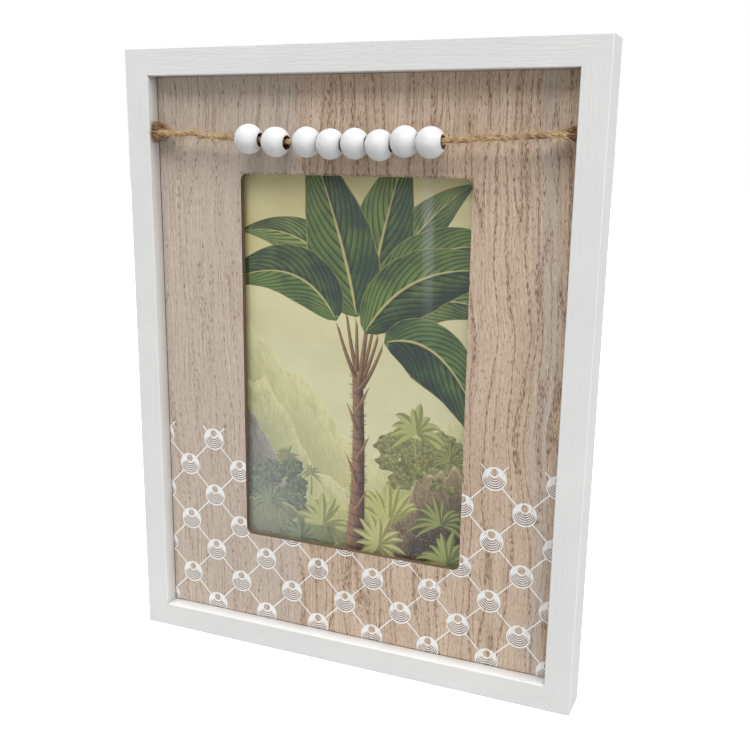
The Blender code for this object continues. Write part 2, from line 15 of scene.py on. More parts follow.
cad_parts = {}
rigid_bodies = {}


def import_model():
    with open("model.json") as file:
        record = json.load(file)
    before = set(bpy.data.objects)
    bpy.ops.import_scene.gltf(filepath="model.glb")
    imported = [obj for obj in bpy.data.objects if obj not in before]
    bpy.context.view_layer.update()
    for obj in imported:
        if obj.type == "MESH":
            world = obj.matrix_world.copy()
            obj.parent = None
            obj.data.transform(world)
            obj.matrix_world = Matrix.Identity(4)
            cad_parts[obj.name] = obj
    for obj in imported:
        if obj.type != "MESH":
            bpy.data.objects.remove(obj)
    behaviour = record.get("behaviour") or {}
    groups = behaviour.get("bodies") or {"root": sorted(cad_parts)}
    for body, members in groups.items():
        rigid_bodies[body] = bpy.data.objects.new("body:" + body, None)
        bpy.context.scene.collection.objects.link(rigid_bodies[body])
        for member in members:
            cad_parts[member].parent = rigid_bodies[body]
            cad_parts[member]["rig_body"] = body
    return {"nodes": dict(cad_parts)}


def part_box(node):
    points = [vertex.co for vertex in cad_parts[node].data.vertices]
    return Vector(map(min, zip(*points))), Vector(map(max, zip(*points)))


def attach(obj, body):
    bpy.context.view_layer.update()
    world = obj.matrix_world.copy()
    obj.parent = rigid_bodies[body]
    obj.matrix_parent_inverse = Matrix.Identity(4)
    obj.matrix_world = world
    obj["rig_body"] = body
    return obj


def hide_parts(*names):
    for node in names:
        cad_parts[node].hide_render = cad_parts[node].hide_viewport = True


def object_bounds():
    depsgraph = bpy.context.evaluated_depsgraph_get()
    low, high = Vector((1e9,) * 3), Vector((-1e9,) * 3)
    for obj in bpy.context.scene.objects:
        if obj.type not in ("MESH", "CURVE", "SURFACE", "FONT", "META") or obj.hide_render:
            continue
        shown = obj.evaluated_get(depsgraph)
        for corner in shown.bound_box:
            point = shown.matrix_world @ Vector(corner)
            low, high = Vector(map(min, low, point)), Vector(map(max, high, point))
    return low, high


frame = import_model()
cad_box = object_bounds()

# Without a seed, noise_vector starts from the clock.
noise.seed_set(1)

MM = 0.001

# Studio and camera
CAMERA_PLACE = (0.15295, -0.33692, 0.20112)
CAMERA_TURN = math.radians(22.83)
CAMERA_TILT = math.radians(76.38)
CAMERA_ROLL = math.radians(0.834)
CAMERA_LENS = 47.14
CAMERA_SHIFT = (-0.0026, 0.026)
BACKDROP_BRIGHTNESS = 1.0
SKY_LIGHT = 0.18
FLOOR_REACH = 6.0
FLOOR_GLOW = 0.45
FLOOR_BOUNCE = 0.45

# Lights: where each comes from, its strength, and its spread in degrees
SUNS = {
    "key": ((0.05, -0.46, 0.89), 3.35, 42),
    "side": ((0.96, -0.19, 0.20), 2.05, 50),
    "back": ((-0.35, 0.85, 0.40), 1.7, 60),
}

# Lattice print on the veneer, in millimetres
LATTICE_PITCH = (12.1, 12.26)
LATTICE_FIRST = (-74.0, 85.7)
LATTICE_TOP = 91.0
MOTIF_RADIUS = 4.65
MOTIF_HOLE = 1.45
RING_PITCH_LOW = 0.92
RING_PITCH_HIGH = 0.11
RING_GAP = 0.28
RING_GAPS = 5
LINK_LINE = 0.50

# Heights between which the veneer's dark streaks set in towards its top, in millimetres
STREAKY_TOP = (200.0, 214.0)

# Painted reflection on the glass: a pale streak of light, in millimetres
REFLECTION_STREAK_AT = 31.0
REFLECTION_STREAK_LOW = 125.0
REFLECTION_STREAK_LEAN = 0.03
REFLECTION_STREAK_FADE = 60.0

# Beads. RIM_SHARE is the bore share where the rounded rim begins, and light scatters in the chalky paint.
BEAD_SEGMENTS = 72
BEAD_STEPS = 34
LIP_STEPS = 7
BEAD_CROWN = 0.985
BEAD_RIM = 0.45 * MM
RIM_SHARE = 0.30
BEAD_PAINT_ROOM = 0.02 * MM
BEAD_END_ROOM = 0.06 * MM
BEAD_SCATTER = 4.0 * MM

# Rails: eased edges, slightly wavy faces, and paint that fills the mitres
SHARP_EDGE = math.radians(30)
RAIL_EASE = 0.08 * MM
RAIL_LOOPS = 6 * MM
RAIL_WAVE = 16 * MM
RAIL_WAVE_HEIGHT = 0.035 * MM
MITRE_REACH = 0.12 * MM
MITRE_FILL = 0.06 * MM

# Jute cord
CORD_STEPS = 620
STRANDS = 3
STRAND_RADIUS = 0.56 * MM
STRAND_OFFSET = 0.52 * MM
LAY_LENGTH = 7.5 * MM
FIBRE_RADIUS = 0.065 * MM
FIBRE_ROOM = 0.1 * MM
FIBRE_STEPS = 8
STRAY_FIBRES = 620
LONG_FIBRES = 0.26
LONG_REACH = (6 * MM, 12 * MM)
SHORT_REACH = (1.5 * MM, 5 * MM)

# Frayed ends of the cord, at the left (-1) and right (1) rail. A tuft's fibres start on the cord, TUFT_START
# from the rail, and end near the rail. TUFT_BELLY bows them outwards, or inwards where it is negative.
TUFT_FIBRES = {-1: 380, 1: 190}
TUFT_START = (3.6 * MM, 8.8 * MM)
TUFT_END = (0.1 * MM, 1.2 * MM)
TUFT_SPREAD = {-1: 2.1 * MM, 1: 1.5 * MM}
TUFT_DEPTH = 3.0 * MM
TUFT_BELLY = {-1: 1.6 * MM, 1: -1.2 * MM}

# Steel parts: zinc-plated sheet, and bright round ones
SHEET_PARTS = ["hinge_fixed_leaf", "hinge_moving_leaf", "sawtooth_hanger"]
SHEET_PARTS += [f"turn_button_{number}" for number in range(1, 5)]
ROUND_PARTS = ["hinge_pin", "board_rivet_left", "board_rivet_right", "strut_rivet_upper", "strut_rivet_lower"]
ROUND_PARTS += ["hanger_nail_left", "hanger_nail_right"]
ROUND_PARTS += [f"button_screw_{number}" for number in range(1, 5)]


# ---------------------------------------------------------------- node trees

def operator(operation, swapped=False):
    """A method that adds a Math node for the operation."""
    def method(self, other):
        return self.graph.math(operation, *((other, self) if swapped else (self, other)))
    return method


class Value:
    """A number in a node tree. Arithmetic on it adds Math nodes."""

    __add__ = operator("ADD")
    __radd__ = operator("ADD", swapped=True)
    __sub__ = operator("SUBTRACT")
    __rsub__ = operator("SUBTRACT", swapped=True)
    __mul__ = operator("MULTIPLY")
    __rmul__ = operator("MULTIPLY", swapped=True)
    __truediv__ = operator("DIVIDE")
    __pow__ = operator("POWER")

    def __init__(self, graph, socket):
        self.graph = graph
        self.socket = socket

    def __neg__(self):
        return self * -1.0

    def __abs__(self):
        return self.call("ABSOLUTE")

    def call(self, operation, *others):
        return self.graph.math(operation, self, *others)

    def limited(self):
        """The number held between 0 and 1."""
        return self.graph.math("ADD", self, 0.0, clamp=True)

    def fold(self):
        """A triangle wave: 1 at whole numbers and 0 halfway between them."""
        return abs(self.call("FRACT") - 0.5) * 2.0

    def ease(self, low, high):
        """0 below low, 1 above high, smooth in between."""
        return self.graph.ease(self, low, high)


class Graph:
    """Adds nodes to one node tree."""

    def __init__(self, tree):
        self.tree = tree

    def node(self, kind, **settings):
        made = self.tree.nodes.new(kind)
        for key, value in settings.items():
            setattr(made, key, value)
        return made

    def put(self, socket, value):
        if isinstance(value, Value):
            value = value.socket
        if isinstance(value, bpy.types.NodeSocket):
            self.tree.links.new(value, socket)
        elif socket.type == "RGBA":
            socket.default_value = (*value[:3], 1.0)
        else:
            socket.default_value = value

    def math(self, operation, *values, clamp=False):
        made = self.node("ShaderNodeMath", operation=operation, use_clamp=clamp)
        for socket, value in zip(made.inputs, values):
            self.put(socket, value)
        return Value(self, made.outputs[0])

    def ease(self, value, low, high):
        made = self.node("ShaderNodeMapRange", interpolation_type="SMOOTHSTEP")
        for socket, number in zip(made.inputs, (value, low, high, 0.0, 1.0)):
            self.put(socket, number)
        return Value(self, made.outputs[0])

    def split(self, vector):
        made = self.node("ShaderNodeSeparateXYZ")
        self.put(made.inputs[0], vector)
        return [Value(self, output) for output in made.outputs]

    def vector(self, *values):
        made = self.node("ShaderNodeCombineXYZ")
        for socket, value in zip(made.inputs, values):
            self.put(socket, value)
        return made.outputs[0]

    def place(self):
        """The point's place in the row frame, as three numbers in millimetres."""
        parts = self.split(self.read("ShaderNodeTexCoord", "Object"))
        return [part * (1.0 / MM) for part in parts]

    def noise(self, *values, detail=3.0, rough=0.5, warp=0.0):
        """Smooth noise at a point. Its features are about as wide as the numbers' unit."""
        made = self.node("ShaderNodeTexNoise", noise_dimensions="3D")
        self.put(made.inputs["Vector"], self.vector(*values))
        settings = {"Scale": 1.0, "Detail": detail, "Roughness": rough, "Distortion": warp}
        for key, value in settings.items():
            self.put(made.inputs[key], value)
        return Value(self, made.outputs[0])

    def cells(self, *values):
        """Distance to the nearest of many scattered points, and a random number for that point."""
        made = self.node("ShaderNodeTexVoronoi")
        self.put(made.inputs["Vector"], self.vector(*values))
        self.put(made.inputs["Scale"], 1.0)
        chance = self.split(made.outputs["Color"])[0]
        return Value(self, made.outputs["Distance"]), chance

    def read(self, kind, output, **settings):
        """What a node without inputs gives."""
        return Value(self, self.node(kind, **settings).outputs[output])

    def attribute(self, name):
        return self.read("ShaderNodeAttribute", "Fac", attribute_name=name)

    def even_noise(self, place, scale, **more):
        """Noise that is alike in all directions."""
        return self.noise(*(part * scale for part in place), **more)

    def mix(self, share, first, second):
        """The first colour where share is 0 and the second where it is 1."""
        made = self.node("ShaderNodeMix", data_type="RGBA", clamp_factor=True)
        for index, value in ((0, share), (6, first), (7, second)):
            self.put(made.inputs[index], value)
        return made.outputs[2]

    def blend(self, share, first, second):
        """The first shader where share is 0 and the second where it is 1."""
        made = self.node("ShaderNodeMixShader")
        for socket, value in zip(made.inputs, (share, first.outputs[0], second.outputs[0])):
            self.put(socket, value)
        return made

    def shade(self, tone, factor):
        """The colour times a number."""
        made = self.node("ShaderNodeVectorMath", operation="SCALE")
        self.put(made.inputs[0], tone)
        self.put(made.inputs["Scale"], factor)
        return made.outputs[0]


def colour(red, green, blue):
    """A colour given as on a screen, 0 to 255, as the linear numbers a shader takes."""
    def linear(value):
        value /= 255
        return value / 12.92 if value <= 0.04045 else ((value + 0.055) / 1.055) ** 2.4
    return (linear(red), linear(green), linear(blue))


def material(name):
    """A new material with a Principled BSDF, and the graph that fills it."""
    made = bpy.data.materials.new(name)
    made.use_nodes = True
    graph = Graph(made.node_tree)
    graph.material = made
    graph.bsdf = made.node_tree.nodes["Principled BSDF"]
    return graph


BSDF_INPUTS = {
    "shine": "Specular IOR Level",
    "metal": "Metallic",
    "coat": "Coat Weight",
    "sheen": "Sheen Weight",
    "scatter": "Subsurface Weight",
    "scatter_reach": "Subsurface Scale",
    "scatter_tint": "Subsurface Radius",
    "glow": "Emission Strength",
    "glow_colour": "Emission Color",
}


def finish_surface(graph, base, rough, height=None, relief=0.0, **more):
    """Wires the colour, roughness, relief (metres per unit of height) and other inputs into the BSDF."""
    graph.put(graph.bsdf.inputs["Base Color"], base)
    graph.put(graph.bsdf.inputs["Roughness"], rough)
    for key, value in more.items():
        graph.put(graph.bsdf.inputs[BSDF_INPUTS[key]], value)
    if height is not None:
        bump = graph.node("ShaderNodeBump")
        graph.put(bump.inputs["Distance"], relief)
        graph.put(bump.inputs["Height"], height)
        graph.put(graph.bsdf.inputs["Normal"], bump.outputs[0])
    return graph.material


# ---------------------------------------------------------------- materials

def paint_material(name, along):
    """White paint, brushed along the rail over fine wood grain, with a few pinholes."""
    graph = material(name)
    place = x, y, z = graph.place()
    run, side = (x, z) if along == "X" else (z, x)
    grain = graph.noise(run * 0.045, side * 2.6, y * 2.6, detail=4.0, rough=0.6)
    brush = graph.noise(run * 0.16, side * 1.5, y * 1.5)
    orange_peel = graph.even_noise(place, 1.3, detail=2.0)
    far, chance = graph.cells(*(part * 0.16 for part in place))
    pinhole = (1.0 - far.ease(0.012, 0.035)) * chance.ease(0.80, 0.82)
    mottle = graph.even_noise(place, 0.03)
    tone = graph.mix(mottle.ease(0.35, 0.75), (0.70, 0.70, 0.695), (0.73, 0.728, 0.72))
    tone = graph.mix((1.0 - grain.ease(0.30, 0.46)) * 0.10, tone, (0.58, 0.57, 0.555))
    tone = graph.mix(pinhole * 0.85, tone, (0.22, 0.19, 0.16))
    height = grain * 0.5 + brush * 0.6 + orange_peel * 0.35 - pinhole * 1.6
    rough = 0.48 + brush * 0.22
    return finish_surface(graph, tone, rough, height, 0.16 * MM, shine=0.4)


def lattice_ink(x, z):
    """White ink at a point, and the gaps between rings: ringed discs joined by diagonal lines."""
    across = (x - LATTICE_FIRST[0]) / LATTICE_PITCH[0]
    down = (LATTICE_FIRST[1] - z) / LATTICE_PITCH[1]
    first = (across + down - 1.0) * 0.5
    second = (across - down - 1.0) * 0.5
    first_off = first - first.call("ROUND")
    second_off = second - second.call("ROUND")
    dx = (first_off + second_off) * LATTICE_PITCH[0]
    dz = (second_off - first_off) * LATTICE_PITCH[1]
    spacing = 2 * LATTICE_PITCH[0] * LATTICE_PITCH[1] / math.hypot(*LATTICE_PITCH)
    link = abs(first_off).call("MINIMUM", abs(second_off)) * spacing
    links = 1.0 - link.ease(LINK_LINE / 2 - 0.08, LINK_LINE / 2 + 0.08)

    # Ring n has radius MOTIF_RADIUS - n * shrink and sits n * rise above the middle. This solves for n.
    shrink = (RING_PITCH_LOW + RING_PITCH_HIGH) / 2
    rise = (RING_PITCH_LOW - RING_PITCH_HIGH) / 2
    even = shrink ** 2 - rise ** 2
    half = MOTIF_RADIUS * shrink - dz * rise
    inside = MOTIF_RADIUS ** 2 - dx * dx - dz * dz
    ring = (half - (half * half - inside * even).call("MAXIMUM", 0.0).call("SQRT")) / even
    hole = (MOTIF_RADIUS - MOTIF_HOLE) / shrink
    above = dz - hole * rise
    low_side = 1.0 - (above / (dx * dx + above * above + 0.1).call("SQRT")).ease(-0.70, -0.42)
    gap = 1.0 - abs(ring - ring.call("ROUND")).ease(RING_GAP * 0.8, RING_GAP * 1.2)
    gap = gap * low_side * ring.ease(0.5, 0.6) * (1.0 - ring.ease(RING_GAPS + 0.4, RING_GAPS + 0.5))
    disc = inside.ease(-0.5, 0.5)
    filled = (1.0 - gap) * (1.0 - ring.ease(hole - 0.12, hole + 0.12))
    ink = (links * (1.0 - disc)).call("MAXIMUM", filled * disc)
    printed_part = 1.0 - z.ease(LATTICE_TOP - 0.1, LATTICE_TOP + 0.1)
    return ink * printed_part, gap * disc * printed_part


def window_reach():
    """Half the window's width and the height of its upper edge in millimetres, from the panel's CAD shape."""
    points = node_points("front_panel") / MM
    outer = points[:, 0].max()
    rim = points[abs(points[:, 0]) < outer * 0.8]
    return float(rim[:, 0].max()), float(rim[:, 2].max())


def veneer_grain(graph, x, z):
    """Upright grain: its colour, its fine threads and fibres, and its open pores."""
    # The grain wanders sideways, alike over a few millimetres.
    drift = graph.noise(x * 0.012, 0.0, z * 0.012, detail=1.0) - 0.5
    ripple = graph.noise(x * 0.10, 3.0, z * 0.045, detail=2.0) - 0.5
    over = x + drift * 14.0 + ripple * 3.0 + z * 0.02
    thread = graph.noise(over * 1.5, 1.0, z * 0.030, detail=4.0, rough=0.7)
    fibre = graph.noise(over * 3.2, 4.0, z * 0.32, detail=2.0, rough=0.65)
    cloud = graph.noise(over * 0.07, 2.0, z * 0.010)

    # Growth rings, and the greyer veneer at the left and in a strip at the far right.
    spread = graph.noise(over * 0.10, 5.0, z * 0.008, detail=2.0)
    ring = (over * 0.17 + spread * 6.0).fold()
    left = 1.0 - x.ease(-23.0, -20.0)
    strip = (1.0 - abs(over - 78.5).ease(1.0, 5.0)) * 0.75
    grey = (left * 0.75).call("MAXIMUM", strip)
    tone = graph.mix(cloud.ease(0.30, 0.70), colour(200, 179, 158), colour(186, 164, 143))
    tone = graph.mix(grey, tone, colour(186, 175, 164))
    tone = graph.mix(ring.ease(0.45, 1.0) * (1.0 - left * 0.6) * 0.22, tone, colour(166, 132, 106))
    streaky = 0.42 + z.ease(*STREAKY_TOP) * 0.30
    tone = graph.mix(thread.ease(0.50, 0.66) * streaky, tone, colour(146, 121, 101))
    tone = graph.mix(thread.ease(0.48, 0.32) * 0.45, tone, colour(224, 211, 194))
    tone = graph.mix(fibre.ease(0.50, 0.68) * 0.36, tone, colour(142, 116, 96))
    tone = graph.mix(fibre.ease(0.48, 0.30) * 0.36, tone, colour(230, 216, 200))

    # Short open pores, crowded along the rings, with rare long streaks.
    dash = graph.noise(over * 3.7, 6.0, z * 0.44, detail=1.0)
    crowd = ring.ease(0.66, 0.92) * (0.145 - left * 0.03) - strip * 0.06 - left * 0.05
    pore = (dash + crowd).ease(0.640, 0.700)
    line = graph.noise(over * 1.3, 8.0, z * 0.030, detail=2.0, rough=0.55).ease(0.64, 0.72)
    pore = pore.call("MAXIMUM", line * 0.6)
    return graph.mix(pore * 0.76, tone, colour(122, 82, 60)), thread, fibre, pore


def veneer_joint_shade_and_tears(graph, x, z):
    """Dark places: painted contact shadow, with some grime, in the joint along the rails, and torn bits along
    the window's upper edge.
    """
    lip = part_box("rail_left")[1].x
    edge_x = (-lip / MM) - abs(x)
    edge_z = (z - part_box("rail_bottom")[1].z / MM).call("MINIMUM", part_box("rail_top")[0].z / MM - z)
    # Painted contact shadow, with some grime, in a thin band along the rails' inner edges.
    joint_shade = 1.0 - edge_x.call("MINIMUM", edge_z).ease(0.02, 0.30)
    side, top = window_reach()
    torn = graph.noise(x * 1.4, 7.0, z * 1.2, detail=2.0).ease(0.50, 0.58)
    torn = torn * z.ease(top - 4.0, top - 3.0) * (1.0 - z.ease(top + 0.25, top + 1.05))
    torn = torn * (1.0 - abs(x).ease(side - 0.35, side + 0.65))
    return joint_shade.call("MAXIMUM", torn)


def veneer_material():
    """Open-pored veneer in front with the lattice print, brown cut edges, and bare board behind."""
    graph = material("veneer")
    x, y, z = graph.place()
    tone, thread, fibre, pore = veneer_grain(graph, x, z)
    ink, gap = lattice_ink(x, z)
    ink = ink * (1.0 - pore * 0.22) * (1.0 - thread.ease(0.62, 0.80) * 0.20)
    tone = graph.mix(gap * 0.60, tone, colour(112, 88, 70))
    tone = graph.mix(ink * 0.95, tone, colour(234, 234, 233))
    # Darkens the veneer with painted contact shadow and some grime along the rails, and with the torn bits at
    # the window's top.
    tone = graph.mix(veneer_joint_shade_and_tears(graph, x, z) * 0.75, tone, colour(70, 54, 42))

    layers = graph.noise(x * 0.7, y * 3.0, z * 0.7, detail=4.0)
    cut = graph.mix(layers, colour(56, 46, 36), colour(118, 98, 78))
    cloud = graph.even_noise((x, y, z), 0.5, detail=5.0)
    board = graph.mix(cloud, colour(150, 118, 84), colour(176, 143, 106))
    facing = graph.split(graph.read("ShaderNodeNewGeometry", "Normal"))[1]
    face = (-facing).ease(0.5, 0.8)
    back = facing.ease(0.5, 0.8)
    tone = graph.mix(face, graph.mix(back, cut, board), tone)
    height = thread * 0.5 + fibre * 0.3 - pore * 1.0 + ink * 0.15
    rough = 0.76 - ink * 0.18
    return finish_surface(graph, tone, rough, height * face, 0.10 * MM, shine=0.25)


def board_material(name, light, dark, fleck):
    """Pressed fibreboard or grey card: fine flecks and tangled fibres."""
    graph = material(name)
    x, y, z = graph.place()
    cloud = graph.even_noise((x, y, z), 0.02, detail=6.0, rough=0.7)
    speck = graph.even_noise((x, y, z), 1.7, rough=0.7)
    fibre = graph.noise(x * 0.5, y * 2.0, z * 1.6, detail=4.0, rough=0.6, warp=2.5)
    cross = graph.noise(x * 1.6, y * 2.0, z * 0.5, detail=4.0, rough=0.6, warp=2.5)
    base = graph.mix(cloud.ease(0.3, 0.7), light, dark)
    base = graph.mix(speck.ease(0.52, 0.72) * 0.55, base, fleck)
    base = graph.mix(speck.ease(0.42, 0.28) * 0.45, base, light)
    base = graph.mix(fibre.ease(0.56, 0.66) * 0.45, base, light)
    base = graph.mix(cross.ease(0.58, 0.66) * 0.45, base, fleck)
    height = speck + (fibre + cross) * 0.6
    return finish_surface(graph, base, 0.62 + speck * 0.25, height, 0.08 * MM, shine=0.3)


def metal_material(name, tone, along="Z"):
    """Plated sheet steel: rolled along one way, with dull cloudy plating."""
    graph = material(name)
    x, y, z = graph.place()
    run, side = (z, x) if along == "Z" else (x, z)
    rolled = graph.noise(run * 0.25, side * 9.0, y * 9.0)
    cloud = graph.even_noise((x, y, z), 0.5, detail=4.0, rough=0.65)
    scratch = graph.noise(run * 1.1, side * 6.0, y * 6.0, detail=1.0, warp=2.0)
    base = graph.mix(cloud.ease(0.35, 0.7) * 0.5, tone, (0.42, 0.42, 0.41))
    rough = 0.36 + cloud * 0.22 + scratch.ease(0.62, 0.75) * 0.15
    return finish_surface(graph, base, rough, rolled + scratch * 0.4, 0.02 * MM, metal=1.0)


def glass_material():
    """Clear glass: it reflects by angle, is faintly green, and carries dust, a painted reflection of a pale
    streak of light, and a pale haze over the lower left.
    """
    graph = material("glass")
    x, y, z = graph.place()
    clear = graph.node("ShaderNodeBsdfTransparent")
    graph.put(clear.inputs[0], (0.985, 0.993, 0.987))
    mirror = graph.node("ShaderNodeBsdfGlossy")
    graph.put(mirror.inputs["Color"], (1.0, 1.0, 1.0))
    haze = graph.noise(x * 0.03, 0.0, z * 0.03, detail=2.0)
    graph.put(mirror.inputs["Roughness"], 0.02 + haze * 0.06)
    fresnel = graph.node("ShaderNodeFresnel")
    graph.put(fresnel.inputs["IOR"], 1.52)
    far, chance = graph.cells(x * 0.35, 0.0, z * 0.35)
    dust = (1.0 - far.ease(0.02, 0.06)) * chance.ease(0.90, 0.92)
    entering = 1.0 - graph.read("ShaderNodeNewGeometry", "Backfacing")
    share = (Value(graph, fresnel.outputs[0]) * 1.5 + dust * 0.4) * entering
    # A pale diffuse veil: a painted reflection streak of light at the upper right, a pale haze over the lower
    # left, and faint patchy haze all over.
    patchiness = graph.noise(x * 0.22, 2.0, z * 0.012)
    reflection_streak = 1.0 - abs(x - REFLECTION_STREAK_AT + (z - REFLECTION_STREAK_LOW) * REFLECTION_STREAK_LEAN).ease(0.6, 3.4)
    reflection_streak = reflection_streak * z.ease(REFLECTION_STREAK_LOW, REFLECTION_STREAK_LOW + REFLECTION_STREAK_FADE)
    corner = (1.0 - x.ease(-48.0, 4.0)) * (1.0 - z.ease(60.0, 118.0))
    veil = (reflection_streak * (0.4 + patchiness) * 0.16 + corner * 0.17 + patchiness.ease(0.55, 0.75) * 0.02) * entering
    pale_veil = graph.node("ShaderNodeBsdfDiffuse")
    graph.put(pale_veil.inputs[0], (0.86, 0.87, 0.90))
    surface = graph.blend(share, graph.blend(veil, clear, pale_veil), mirror)
    graph.put(graph.tree.nodes["Material Output"].inputs["Surface"], surface.outputs[0])
    graph.tree.nodes.remove(graph.bsdf)
    return graph.material


def bead_material():
    """Matt white paint with a little sanding relief. The bore is raw wood with a ragged paint edge."""
    graph = material("bead_paint")
    x, y, z = graph.place()
    bore = graph.attribute("bore")
    ragged = graph.even_noise((x, y, z), 1.2, rough=0.7)
    raw = (bore + (ragged - 0.5) * 0.5).ease(0.50, 0.60)
    grain = graph.noise(x * 0.25, y * 3.0, z * 3.0)
    wood = graph.mix(grain, colour(70, 48, 34), colour(150, 112, 78))
    rubbed = (bore + (ragged - 0.5) * 0.9).ease(0.22, 0.55)
    mottle = graph.even_noise((x, y, z), 0.4)
    paint = graph.mix(mottle, (0.68, 0.685, 0.69), (0.71, 0.713, 0.715))
    paint = graph.mix(rubbed * 0.5, paint, colour(214, 196, 176))
    dent = graph.even_noise((x, y, z), 0.8, detail=4.0, rough=0.6)
    height = dent * 0.8 + grain * 0.2 - raw * 0.6
    tone = graph.mix(raw, paint, wood)
    return finish_surface(graph, tone, 0.55 + ragged * 0.12, height, 0.09 * MM, shine=0.25,
                          scatter=(1.0 - raw) * 0.6, scatter_reach=BEAD_SCATTER, scatter_tint=(1.0, 1.0, 1.0))


def jute_material(name, pale, deep, stain=0.55):
    """Raw plant fibre: fine lengthwise fibres, pale and brown mixed."""
    graph = material(name)
    along = graph.attribute("along")
    around = graph.attribute("around")
    fibre = graph.noise(along * 260.0, around * 9.0, 0.0, rough=0.7)
    patch = graph.even_noise(graph.place(), 0.35)
    base = graph.mix(fibre.ease(0.30, 0.70), deep, pale)
    base = graph.mix(patch.ease(0.42, 0.66) * stain, base, colour(112, 72, 44))
    return finish_surface(graph, base, 0.85, fibre, 0.12 * MM, shine=0.15, sheen=0.25)


def glue_material():
    """Old brown glue with fibres set in it."""
    graph = material("hard_glue")
    x, y, z = graph.place()
    fibre = graph.noise(x * 2.0, y * 1.2, z * 2.4, detail=4.0, rough=0.7, warp=1.0)
    base = graph.mix(fibre.ease(0.35, 0.65), colour(96, 64, 38), colour(176, 134, 84))
    return finish_surface(graph, base, 0.5, fibre, 0.4 * MM, coat=0.15)


# ---------------------------------------------------------------- the print behind the glass
# The picture is this script's own palm. Its shapes are laid over each other in one flat sheet, and each
# triangle of the sheet belongs to the topmost shape there, so that leaf veins follow their leaf.

def plate_surface(name):
    """A material of the print, with the numbers and inks that the sheet holds for each shape."""
    graph = material("print_" + name)
    shape = graph.split(graph.read("ShaderNodeAttribute", "Vector", attribute_name="shape"))
    dark = graph.read("ShaderNodeAttribute", "Color", attribute_name="dark")
    light = graph.read("ShaderNodeAttribute", "Color", attribute_name="light")
    return graph, shape, dark, light


def printed(graph, ink):
    """Adds the paper's age and the printing grain to an ink colour."""
    x, y, z = graph.place()
    speck = graph.noise(x * 3.5, 0.0, z * 3.5, detail=1.0)
    stain = graph.noise(x * 0.06, 4.0, z * 0.06, detail=5.0, rough=0.6)
    ink = graph.shade(ink, 0.97 + (speck - 0.5) * 0.10 + (stain - 0.5) * 0.16)
    return finish_surface(graph, ink, 0.38, shine=0.3)


def sky_ink():
    graph, shape, dark, light = plate_surface("sky")
    x, y, z = graph.place()
    cloud = graph.noise(x * 0.018, 0.0, z * 0.05, detail=4.0, rough=0.55)
    sky = graph.mix(z.ease(108.0, 190.0), light, dark)
    return printed(graph, graph.mix(cloud.ease(0.35, 0.70) * 0.40, sky, colour(238, 233, 200)))


def hill_ink():
    """Slopes and rocks: lit along the ridge, hatched and tufted below it."""
    graph, (below, _, seed), dark, light = plate_surface("hill")
    x, y, z = graph.place()
    hatch = graph.noise(x * 1.1 + z * 0.25, seed, z * 0.16, detail=4.0, rough=0.7)
    tuft = graph.noise(x * 0.9, seed + 5.0, z * 0.9, detail=4.0, rough=0.7)
    crag = graph.noise(x * 0.16 + z * 0.05, seed + 9.0, z * 0.09, rough=0.6)
    tone = graph.mix((below / 26.0).limited(), light, dark)
    tone = graph.mix(crag.ease(0.48, 0.62) * 0.45, tone, dark)
    tone = graph.mix(hatch.ease(0.45, 0.62) * 0.40, tone, dark)
    tone = graph.mix(hatch.ease(0.50, 0.34) * 0.30, tone, light)
    tone = graph.mix(tuft.ease(0.52, 0.66) * 0.35, tone, dark)
    tone = graph.mix(tuft.ease(0.46, 0.32) * 0.30, tone, colour(226, 221, 176))
    return printed(graph, graph.mix((1.0 - below.ease(0.0, 1.6)) * 0.45, tone, colour(230, 222, 170)))


def bush_ink():
    """Foliage in small round clumps, each lit from above."""
    graph, (below, _, seed), dark, light = plate_surface("bush")
    x, y, z = graph.place()
    clump, _ = graph.cells(x * 0.62, seed, z * 0.62)
    leaf, _ = graph.cells(x * 1.7, seed, z * 1.7)
    speck = graph.noise(x * 2.6, seed, z * 2.6, detail=2.0, rough=0.7)
    glow = 0.95 - clump * 0.75 - leaf * 0.40 + (speck - 0.5) * 0.5 - (below / 14.0).limited() * 0.45
    tone = graph.mix(glow.limited(), dark, light)
    return printed(graph, graph.mix((1.0 - below.ease(0.0, 1.2)) * 0.35, tone, light))


def leaf_ink():
    """A pleated leaf: dark veins run from the midrib towards the tip, and each pleat is lit on one side."""
    graph, (share, run, seed), dark, light = plate_surface("leaf")
    x, y, z = graph.place()
    lobe = abs(share).call("MINIMUM", 1.0)
    phase = (run - (lobe ** 1.2) * 0.42 + seed) * LEAF_VEINS
    pleat = phase.call("FRACT")
    vein = abs(pleat - 0.5).ease(0.26, 0.46)
    patch = graph.noise(x * 0.10, seed * 7.0, z * 0.10, detail=2.0)
    hair = graph.noise(x * 1.3, seed, z * 1.3, detail=2.0)
    upper = share.ease(-0.06, 0.06)
    glow = 0.14 + pleat * 0.30 + upper * 0.30 + (patch - 0.5) * 1.1 + (hair - 0.5) * 0.20
    glow = glow + run * 0.14 - (lobe - 0.5) * 0.22
    tone = graph.mix(glow.ease(0.08, 0.88), dark, light)
    tone = graph.mix(vein * (0.85 - lobe * 0.25), tone, colour(20, 36, 32))
    tone = graph.mix(lobe.ease(0.95, 0.99) * 0.55, tone, colour(184, 172, 96))
    shadow = 1.0 - abs(share + 0.09).ease(0.03, 0.10)
    tone = graph.mix(shadow * 0.45, tone, colour(18, 34, 30))
    rib = 1.0 - (lobe / (0.050 - run * 0.028)).ease(0.7, 1.3)
    return printed(graph, graph.mix(rib * 0.85, tone, colour(204, 192, 132)))


